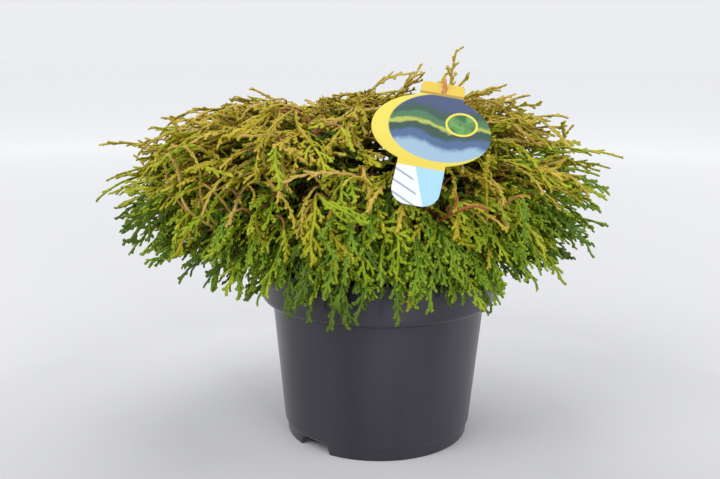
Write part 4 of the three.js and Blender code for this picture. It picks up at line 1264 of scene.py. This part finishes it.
def pot_profile():
    """Half section of the pot, from the middle of its underside round to the middle of its inside."""
    foot, waist, neck, collar, rim = (
        POT_FOOT_RADIUS, POT_WAIST_RADIUS, POT_NECK_RADIUS, POT_COLLAR_RADIUS, POT_RIM_RADIUS)
    outside = [
        [0, 0], [CHANNEL_RADIUS, 0], [CHANNEL_RADIUS + 2 * MM, CHANNEL_HEIGHT],
        [foot - 5 * MM, CHANNEL_HEIGHT], [foot - 3 * MM, 0], [foot, 0],
        [foot + 0.9 * MM, FOOT_STEP - 1.5 * MM], [waist, FOOT_STEP],
        [waist + 0.4 * MM, FOOT_STEP + 4 * MM], [neck - 0.3 * MM, COLLAR_BOTTOM - 3 * MM],
        [neck, COLLAR_BOTTOM], [collar - 4 * MM, COLLAR_BOTTOM + 1.2 * MM],
        [collar - 0.5 * MM, COLLAR_BOTTOM + 5 * MM], [collar, COLLAR_BOTTOM + 10 * MM],
        [rim - 0.2 * MM, POT_HEIGHT - 6 * MM], [rim, POT_HEIGHT - 3 * MM],
        [rim - 0.6 * MM, POT_HEIGHT],
    ]
    inside = [
        [rim - 3 * MM, POT_HEIGHT], [rim - 4 * MM, POT_HEIGHT - 3 * MM],
        [collar - POT_WALL, COLLAR_BOTTOM + 10 * MM], [neck - POT_WALL, COLLAR_BOTTOM + 3 * MM],
        [waist - POT_WALL, BASE_TOP + 2 * MM], [waist - POT_WALL - 2 * MM, BASE_TOP], [0, BASE_TOP],
    ]
    return rounded(outside + inside, 1.6 * MM)


def plastic_material():
    """Moulded polypropylene: dark grey with a faint bluish tint, in upright streaks of lighter grey that
    are a painted sheen for bands of reflected light; slightly uneven gloss, fine grain.
    """
    material, draw, shader = bare_material(
        "pot_plastic", (46, 45, 53), 0.4, Coat_Weight=0.25, Coat_Roughness=0.18, Specular_IOR_Level=0.35)
    # The upright streaks of lighter grey are painted sheen: bands of reflected light put into the colour.
    clouds = draw.group(
        mottle, Dark=linear((37, 36, 43)), Light=linear((50, 49, 58)), Scale=16, Contrast=1.0,
        Squeeze=(1, 1, 0.1))
    draw.feed(shader.inputs["Base Color"], clouds.outputs["Color"])
    draw.feed(shader.inputs["Roughness"], draw.ranged(clouds.outputs["Mask"], To_Min=0.3, To_Max=0.44))
    draw.scaly_bump(shader, 900, 0.08, 0.2 * MM)
    return material


def dress_pot():
    """The pot, turned from its profile, with its drains."""
    vertices, faces = lathe(pot_profile(), POT_SEGMENTS, drained)
    piece = fill_mesh("nursery_pot", vertices, faces)
    piece.data.materials.append(plastic_material())
    piece.data.set_sharp_from_angle(angle=math.radians(50))
    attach(piece, "root")
    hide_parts("pot")


LUMPS = ((1.5, 26 * MM, 3), (0.8, 8 * MM, 4))       # height in millimetres, length, and seed
LUMPS_SINK = 1.2                      # of their mean under the medium's top, in millimetres


def lumpy(rings):
    """Heaves the medium's top by waves of two sizes."""
    top = rings[..., 2] > SOIL_TOP - 1 * MM
    lumps = sum(height * waves(rings, length, seed) for height, length, seed in LUMPS)
    rings[..., 2] += np.where(top, (lumps - LUMPS_SINK) * MM, 0)
    return rings


MEDIUM_GAP = POT_WALL + 0.9 * MM      # from the pot's outside to the medium's side
MEDIUM_EDGE = POT_COLLAR_RADIUS - MEDIUM_GAP
CHIPS = 1100
CHIP_HALF_SIDES = ((3, 9), (1.5, 4), (0.5, 1.3))    # length, width and thickness, in millimetres


def medium_mesh():
    """The medium's body, turned from its profile, with its top heaved by waves."""
    top = [[radius, SOIL_TOP] for radius in np.linspace(MEDIUM_EDGE - 1 * MM, 2 * MM, SOIL_RINGS)]
    profile = np.concatenate([
        [[0, BASE_TOP + 0.3 * MM], [POT_WAIST_RADIUS - MEDIUM_GAP - 4 * MM, BASE_TOP + 0.3 * MM],
         [POT_NECK_RADIUS - MEDIUM_GAP, COLLAR_BOTTOM + 3.3 * MM],
         [MEDIUM_EDGE, COLLAR_BOTTOM + 9.7 * MM], [MEDIUM_EDGE, SOIL_TOP - 3 * MM]],
        top,
        [[0, SOIL_TOP]],
    ])
    return lathe(profile, SOIL_SEGMENTS, lumpy)


def chips_mesh():
    """Bark chips lying on the medium: flat cuboids turned at random, their corners drawn in."""
    size = np.stack([dice.uniform(*half, CHIPS) for half in CHIP_HALF_SIDES], -1) * MM
    cube = np.array([[x, y, z] for x in (-1, 1) for y in (-1, 1) for z in (-1, 1)], float)
    corners = cube * size[:, None] * dice.uniform(0.55, 1.0, (CHIPS, 8, 3))
    ways = unit(dice.normal(size=(CHIPS, 3)) * [1, 1, 0.25])
    aside = unit(np.cross(UP, ways))
    frames = np.stack([ways, aside, np.cross(ways, aside)], 1)
    radius = np.sqrt(dice.uniform((TRUNK_RADIUS + 8 * MM) ** 2, (MEDIUM_EDGE - 8 * MM) ** 2, CHIPS))
    angle = dice.uniform(0, TURN, CHIPS)
    height = dice.uniform(0, 1.6, CHIPS) * MM + SOIL_TOP
    corners = polar(radius, angle, height)[:, None] + np.einsum("svk,skj->svj", corners, frames)
    box = np.array([[0, 1, 3, 2], [4, 6, 7, 5], [0, 4, 5, 1], [2, 3, 7, 6], [0, 2, 6, 4], [1, 5, 7, 3]])
    return corners.reshape(-1, 3), [(box[None] + 8 * np.arange(CHIPS)[:, None, None]).reshape(-1, 4)]


def dress_medium():
    """The growing medium: its body, and the chips on it."""
    body = fill_mesh("medium_body", *medium_mesh())
    body.data.materials.append(earthy_materials["medium"])
    chips = fill_mesh("medium_chips", *chips_mesh(), smooth=False)
    chips.data.materials.append(earthy_materials["bark_chips"])
    for piece in (body, chips):
        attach(piece, "root")
        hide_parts("growing_medium")


dress_pot()
dress_medium()

# ------------------------------------------------------------------ label and the twig it hangs on

def label_outline(angle):
    """Distance from the slot's middle to the label's edge at each angle, by halving."""
    low, high = np.zeros_like(angle), np.full_like(angle, 150 * MM)
    for _ in range(30):
        middle = (low + high) / 2
        x, y = SLOT_CENTRE[0] + middle * np.cos(angle), SLOT_CENTRE[1] + middle * np.sin(angle)
        inside = in_label_outline(x, y)
        low, high = np.where(inside, middle, low), np.where(inside, high, middle)
    return low


def slot_outline(angle):
    """Distance from the slot's middle to its edge: a superellipse of power 5."""
    c, s = np.abs(np.cos(angle)) / SLOT_HALF[0], np.abs(np.sin(angle)) / SLOT_HALF[1]
    return (c ** 5 + s ** 5) ** -0.2


LABEL_SEGMENTS = 480
LABEL_ROWS = 12                       # from the slot to the edge, on the face and on the reverse
LABEL_RIM_INSET = 0.25 * MM           # of the face's and the reverse's last row
LABEL_BOW = 0.9 * MM                  # how far its ends bend back from its middle
LABEL_LIFT = 0.35 * MM                # of its middle, to keep the bent card about its place
LABEL_UNIT = 100 * MM                 # of the print's coordinates
REVERSE_SHIFT = 4.0                   # of the reverse's coordinates, aside from those of the face


def dress_label():
    """A thin card round its slot: rows run from the slot's edge out to the label's edge on the face,
    over a rounded rim, and back on the reverse. It bends back by the square of x over its half width.
    """
    angle = np.arange(LABEL_SEGMENTS) * TURN / LABEL_SEGMENTS
    spread = np.linspace(0, 1, LABEL_ROWS) ** 1.3
    shares = np.concatenate([spread, [1.0], spread[::-1]])
    inset = np.zeros(len(shares))
    inset[[LABEL_ROWS - 1, LABEL_ROWS + 1]] = LABEL_RIM_INSET
    height = LABEL_HALF_THICKNESS * np.repeat([1, 0, -1], [LABEL_ROWS, 1, LABEL_ROWS])
    reach = mixed(slot_outline(angle), label_outline(angle), shares[:, None]) - inset[:, None]
    x = SLOT_CENTRE[0] + reach * np.cos(angle)
    y = SLOT_CENTRE[1] + reach * np.sin(angle)
    bow = LABEL_LIFT - LABEL_BOW * (x / LABEL_OVAL[0]) ** 2
    vertices = LABEL_CENTRE + np.stack([x, y, height[:, None] + bow], -1) @ label_axes()
    index = np.arange(x.size).reshape(x.shape)
    onward, below = np.roll(index, -1, axis=1), np.roll(index, -1, axis=0)
    diagonal = np.roll(below, -1, axis=1)
    quads = np.stack([index, below, diagonal, onward], -1).reshape(-1, 4)
    reverse = np.where(height < 0, REVERSE_SHIFT, 0)[:, None]
    uv = np.stack([x / LABEL_UNIT + reverse, y / LABEL_UNIT], -1).reshape(-1, 2)
    piece = fill_mesh("hanging_label", vertices.reshape(-1, 3), [quads], uv=uv)
    piece.data.set_sharp_from_angle(angle=math.radians(40))
    piece.data.materials.append(label_material())
    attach(piece, "root")
    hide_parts("plant_label")


# The print's layout in its own coordinates: centres and half sizes of the ovals, and levels.
FIELD_OVAL = (0.085, 0.035), (0.46, 0.345)
RING_OVAL = (0.25, 0.1), (0.14, 0.12)
GRASS_OVAL = (0.25, 0.1), (0.122, 0.102)
TONGUE_TOP = -0.39
TAB_FOOT = 0.365
TAB_FOLD = 0.39
PALE_EDGE = -0.2                      # of the tongue's pale side, across the slant
BARS_EDGE = -0.24                     # of its bars

# Bands of the label's field from the top down: the level of each one's edge, its blur and colour.
FIELD_BANDS = [
    (0.27, 0.05, (34, 62, 54)),
    (0.19, 0.03, (52, 92, 58)),
    (0.12, 0.02, (140, 148, 62)),
    (0.085, 0.02, (30, 58, 50)),
    (0.0, 0.04, (56, 78, 112)),
    (-0.1, 0.05, (120, 146, 164)),
]


def label_material():
    """Printed card, on its own flat coordinates in decimetres: a yellow ground, a dark oval field with
    wavy bands, a ring, and a pale tongue with slanted bars. The reverse, shifted aside, is plain.
    """
    material, draw, shader = bare_material(
        "label_print", (232, 196, 40), 0.28, Coat_Weight=0.35, Coat_Roughness=0.12)
    plane = draw.node("ShaderNodeUVMap", {}, uv_map="plane").outputs["UV"]
    split = draw.node("ShaderNodeSeparateXYZ", {"Vector": plane})
    x, y = split.outputs["X"], split.outputs["Y"]
    noise = draw.node("ShaderNodeTexNoise", {"Scale": 9, "Detail": 5, "Vector": plane}).outputs["Fac"]
    swell = draw.math("MULTIPLY", draw.math("SINE", draw.math("MULTIPLY", x, 11.0)), 0.035)
    level = draw.math("ADD", draw.math("ADD", y, swell), draw.math("MULTIPLY", noise, 0.1))
    field = (46, 58, 88)
    for edge, blur, color in FIELD_BANDS:
        field = draw.paint(field, color, draw.soft_below(level, edge, blur))
    card = draw.paint((184, 172, 66), (182, 164, 58), draw.soft_below(y, -0.2, 0.3))
    card = draw.paint(card, field, draw.oval(x, y, *FIELD_OVAL))
    card = draw.paint(card, (196, 182, 60), draw.oval(x, y, *RING_OVAL))
    grass = draw.paint((34, 78, 38), (84, 128, 66), draw.soft_below(noise, 0.5, 0.2))
    card = draw.paint(card, grass, draw.oval(x, y, *GRASS_OVAL))
    slant = draw.math("ADD", x, draw.math("MULTIPLY", y, 0.35))
    pale = draw.soft_below(slant, PALE_EDGE, PRINT_BLUR)
    tongue = draw.paint((130, 168, 190), (184, 187, 194), pale)
    steep = draw.math("ADD", y, draw.math("MULTIPLY", x, 0.5))
    bars = draw.soft_below(draw.math("FRACT", draw.math("MULTIPLY", steep, 9.0)), 0.16, 0.04)
    bars = draw.math("MULTIPLY", bars, draw.soft_below(slant, BARS_EDGE, PRINT_BLUR))
    tongue = draw.paint(tongue, (120, 130, 138), bars)
    card = draw.paint(card, tongue, draw.soft_below(y, TONGUE_TOP, PRINT_BLUR))
    on_tab = draw.soft_below(draw.math("MULTIPLY", y, -1.0), -TAB_FOOT, PRINT_BLUR)
    card = draw.paint(card, (180, 154, 48), on_tab)
    fold = draw.math("MULTIPLY", draw.soft_below(y, TAB_FOLD, 0.008), on_tab)
    card = draw.paint(card, (138, 112, 34), fold)
    card = draw.paint((196, 197, 194), card, draw.soft_below(x, REVERSE_SHIFT / 2, PRINT_BLUR))
    draw.feed(shader.inputs["Base Color"], card)
    return material


HOOK_SPAN = (-80 * MM, 11 * MM)       # of the label's twig, from under the slot to above it
HOOK_RADIUS = 1.9 * MM
RED_FORK_RADIUS = 1.3 * MM


def dress_hook():
    """The orange-brown twig that the label hangs on, from inside the crown up through the slot: a
    straight tube with a slight wave in its radius and a narrowed end.
    """
    axes = label_axes()
    slot = LABEL_CENTRE + SLOT_CENTRE[0] * axes[0] + SLOT_CENTRE[1] * axes[1]
    run = np.linspace(*HOOK_SPAN, 24)
    path = slot + run[:, None] * unit(HOOK_RISE)
    radii = HOOK_RADIUS * (1 + 0.05 * np.sin(run / (2.3 * MM)))
    radii[-2:] *= [0.9, 0.55]
    mesh = tubes(path[None], radii[None], np.array([[1.0, 0.0, 0.0]]), 12)
    dress_bark("label_twig", mesh, earthy_materials["orange_twig_bark"], foliage_nodes)


def dress_red_fork():
    """A bare forked twig of bright bark, low in the front of the crown: two arched curves."""
    radii = RED_FORK_RADIUS * mixed(1.1, 0.8, np.linspace(0, 1, 14)) * alternating(14, 0.08)
    mesh = limb_tubes(RED_FORK, radii, 8)
    dress_bark("red_fork", mesh, earthy_materials["red_twig_bark"], foliage_nodes)


dress_label()
dress_hook()
dress_red_fork()

# ------------------------------------------------------------------ floor, light and camera

FLOOR_REACH = 40.0
# Distance from the pot's middle and the floor's grey value there, from 0 to 255.
FLOOR_STOPS = [(0.09, 222), (0.2, 200), (0.42, 184), (1.0, 200), (3.0, 254)]
# A soft darker patch before the pot: its middle, where its fade starts and ends, and its grey.
PATCH_MIDDLE = (0.0, -0.35, 0.0)
PATCH_FADE = (0.3, 0.68)
PATCH_GREY = 218


def stage_floor():
    """A wide pale floor: a grey that changes with the distance from the pot, paler in its shade,
    times that of the patch before the pot.
    """
    reach = FLOOR_REACH
    corners = np.array([[-reach, -reach, 0], [reach, -reach, 0], [reach, reach, 0], [-reach, reach, 0]])
    floor = fill_mesh("floor", corners, [[[0, 1, 2, 3]]], smooth=False)
    material, draw, shader = bare_material("pale_floor", (205, 205, 207), 0.7)
    place = draw.object_place()
    furthest = FLOOR_STOPS[-1][0]
    share = draw.ranged(draw.distance("LENGTH", place), From_Max=furthest)
    ramp = draw.node("ShaderNodeValToRGB", {"Fac": share})
    stops = ramp.color_ramp.elements
    for position in np.linspace(0.2, 0.8, len(FLOOR_STOPS) - 2):
        stops.new(position)
    for stop, (away, grey) in zip(stops, FLOOR_STOPS):
        stop.position = away / furthest
        stop.color = linear((grey, grey, grey + 2))
    near, far = PATCH_FADE
    fade = draw.ranged(draw.distance("DISTANCE", place, PATCH_MIDDLE), From_Min=near, From_Max=far)
    patch = draw.paint((PATCH_GREY,) * 3, (255,) * 3, fade)
    draw.feed(shader.inputs["Base Color"], draw.paint(ramp.outputs["Color"], patch, 1.0, "MULTIPLY"))
    floor.data.materials.append(material)


def turned(right, up, back):
    """The matrix that turns an object's own X, Y and Z to three directions."""
    return Matrix(np.stack([right, up, back], 1).tolist()).to_4x4()


def area_light(name, place, width, height, power):
    """A rectangular light at a place, turned to the middle of the plant, its top upwards."""
    data = bpy.data.lights.new(name, "AREA")
    data.shape = "RECTANGLE"
    data.size, data.size_y, data.energy = width, height, power
    back = unit(np.array(place) - CROWN_CENTRE)
    right = unit(np.cross(UP, back))
    lamp = bpy.data.objects.new(name, data)
    lamp.matrix_world = Matrix.Translation(place) @ turned(right, np.cross(back, right), back)
    bpy.context.scene.collection.objects.link(lamp)


# Lights: place, width and height in metres, and power in watts.
LIGHTS = {
    "key": ((-0.9, -1.1, 1.7), 1.2, 1.2, 21.5),
    "fill": ((1.95, -1.1, 1.45), 2.2, 2.2, 26),
    "side": ((-1.5, -0.7, 0.62), 0.8, 0.8, 6.5),
    "top": ((0.1, 0.3, 1.9), 1.4, 1.4, 14),
    "sheen": ((0.58, -1.2, 0.26), 0.04, 0.5, 4),
}
SKY_COLOR = (0.93, 0.94, 0.96, 1)
SKY_STRENGTH = 0.9


def light_stage():
    """The lights, and an even pale sky."""
    for name, values in LIGHTS.items():
        area_light(name, *values)
    sky = bpy.data.worlds.new("studio")
    bpy.context.scene.world = sky
    sky.use_nodes = True
    background = sky.node_tree.nodes["Background"]
    background.inputs["Color"].default_value = SKY_COLOR
    background.inputs["Strength"].default_value = SKY_STRENGTH
    bpy.context.scene.view_settings.view_transform = "Standard"


CAMERA_PLACE = np.array([2.76, -862.76, 373.46]) * MM
CAMERA_PITCH = math.radians(11.686)
CAMERA_YAW = math.radians(-1.426)
CAMERA_ROLL = math.radians(0.409)
CAMERA_LENS = 43.985                  # on a sensor 36 mm wide


def make_camera():
    """The camera: turned by its yaw, down by its pitch, and rolled about its own axis."""
    across, forth = math.sin(CAMERA_YAW), math.cos(CAMERA_YAW)
    level, down = math.cos(CAMERA_PITCH), math.sin(CAMERA_PITCH)
    ahead = np.array([across * level, forth * level, -down])
    right = np.array([forth, -across, 0])
    up = np.cross(right, ahead)
    c, s = math.cos(CAMERA_ROLL), math.sin(CAMERA_ROLL)
    data = bpy.data.cameras.new("camera")
    data.sensor_width = 36
    data.lens = CAMERA_LENS
    camera = bpy.data.objects.new("camera", data)
    camera.matrix_world = Matrix.Translation(CAMERA_PLACE) @ turned(
        right * c + up * s, up * c - right * s, -ahead)
    bpy.context.scene.collection.objects.link(camera)
    bpy.context.scene.camera = camera


stage_floor()
make_camera()
light_stage()
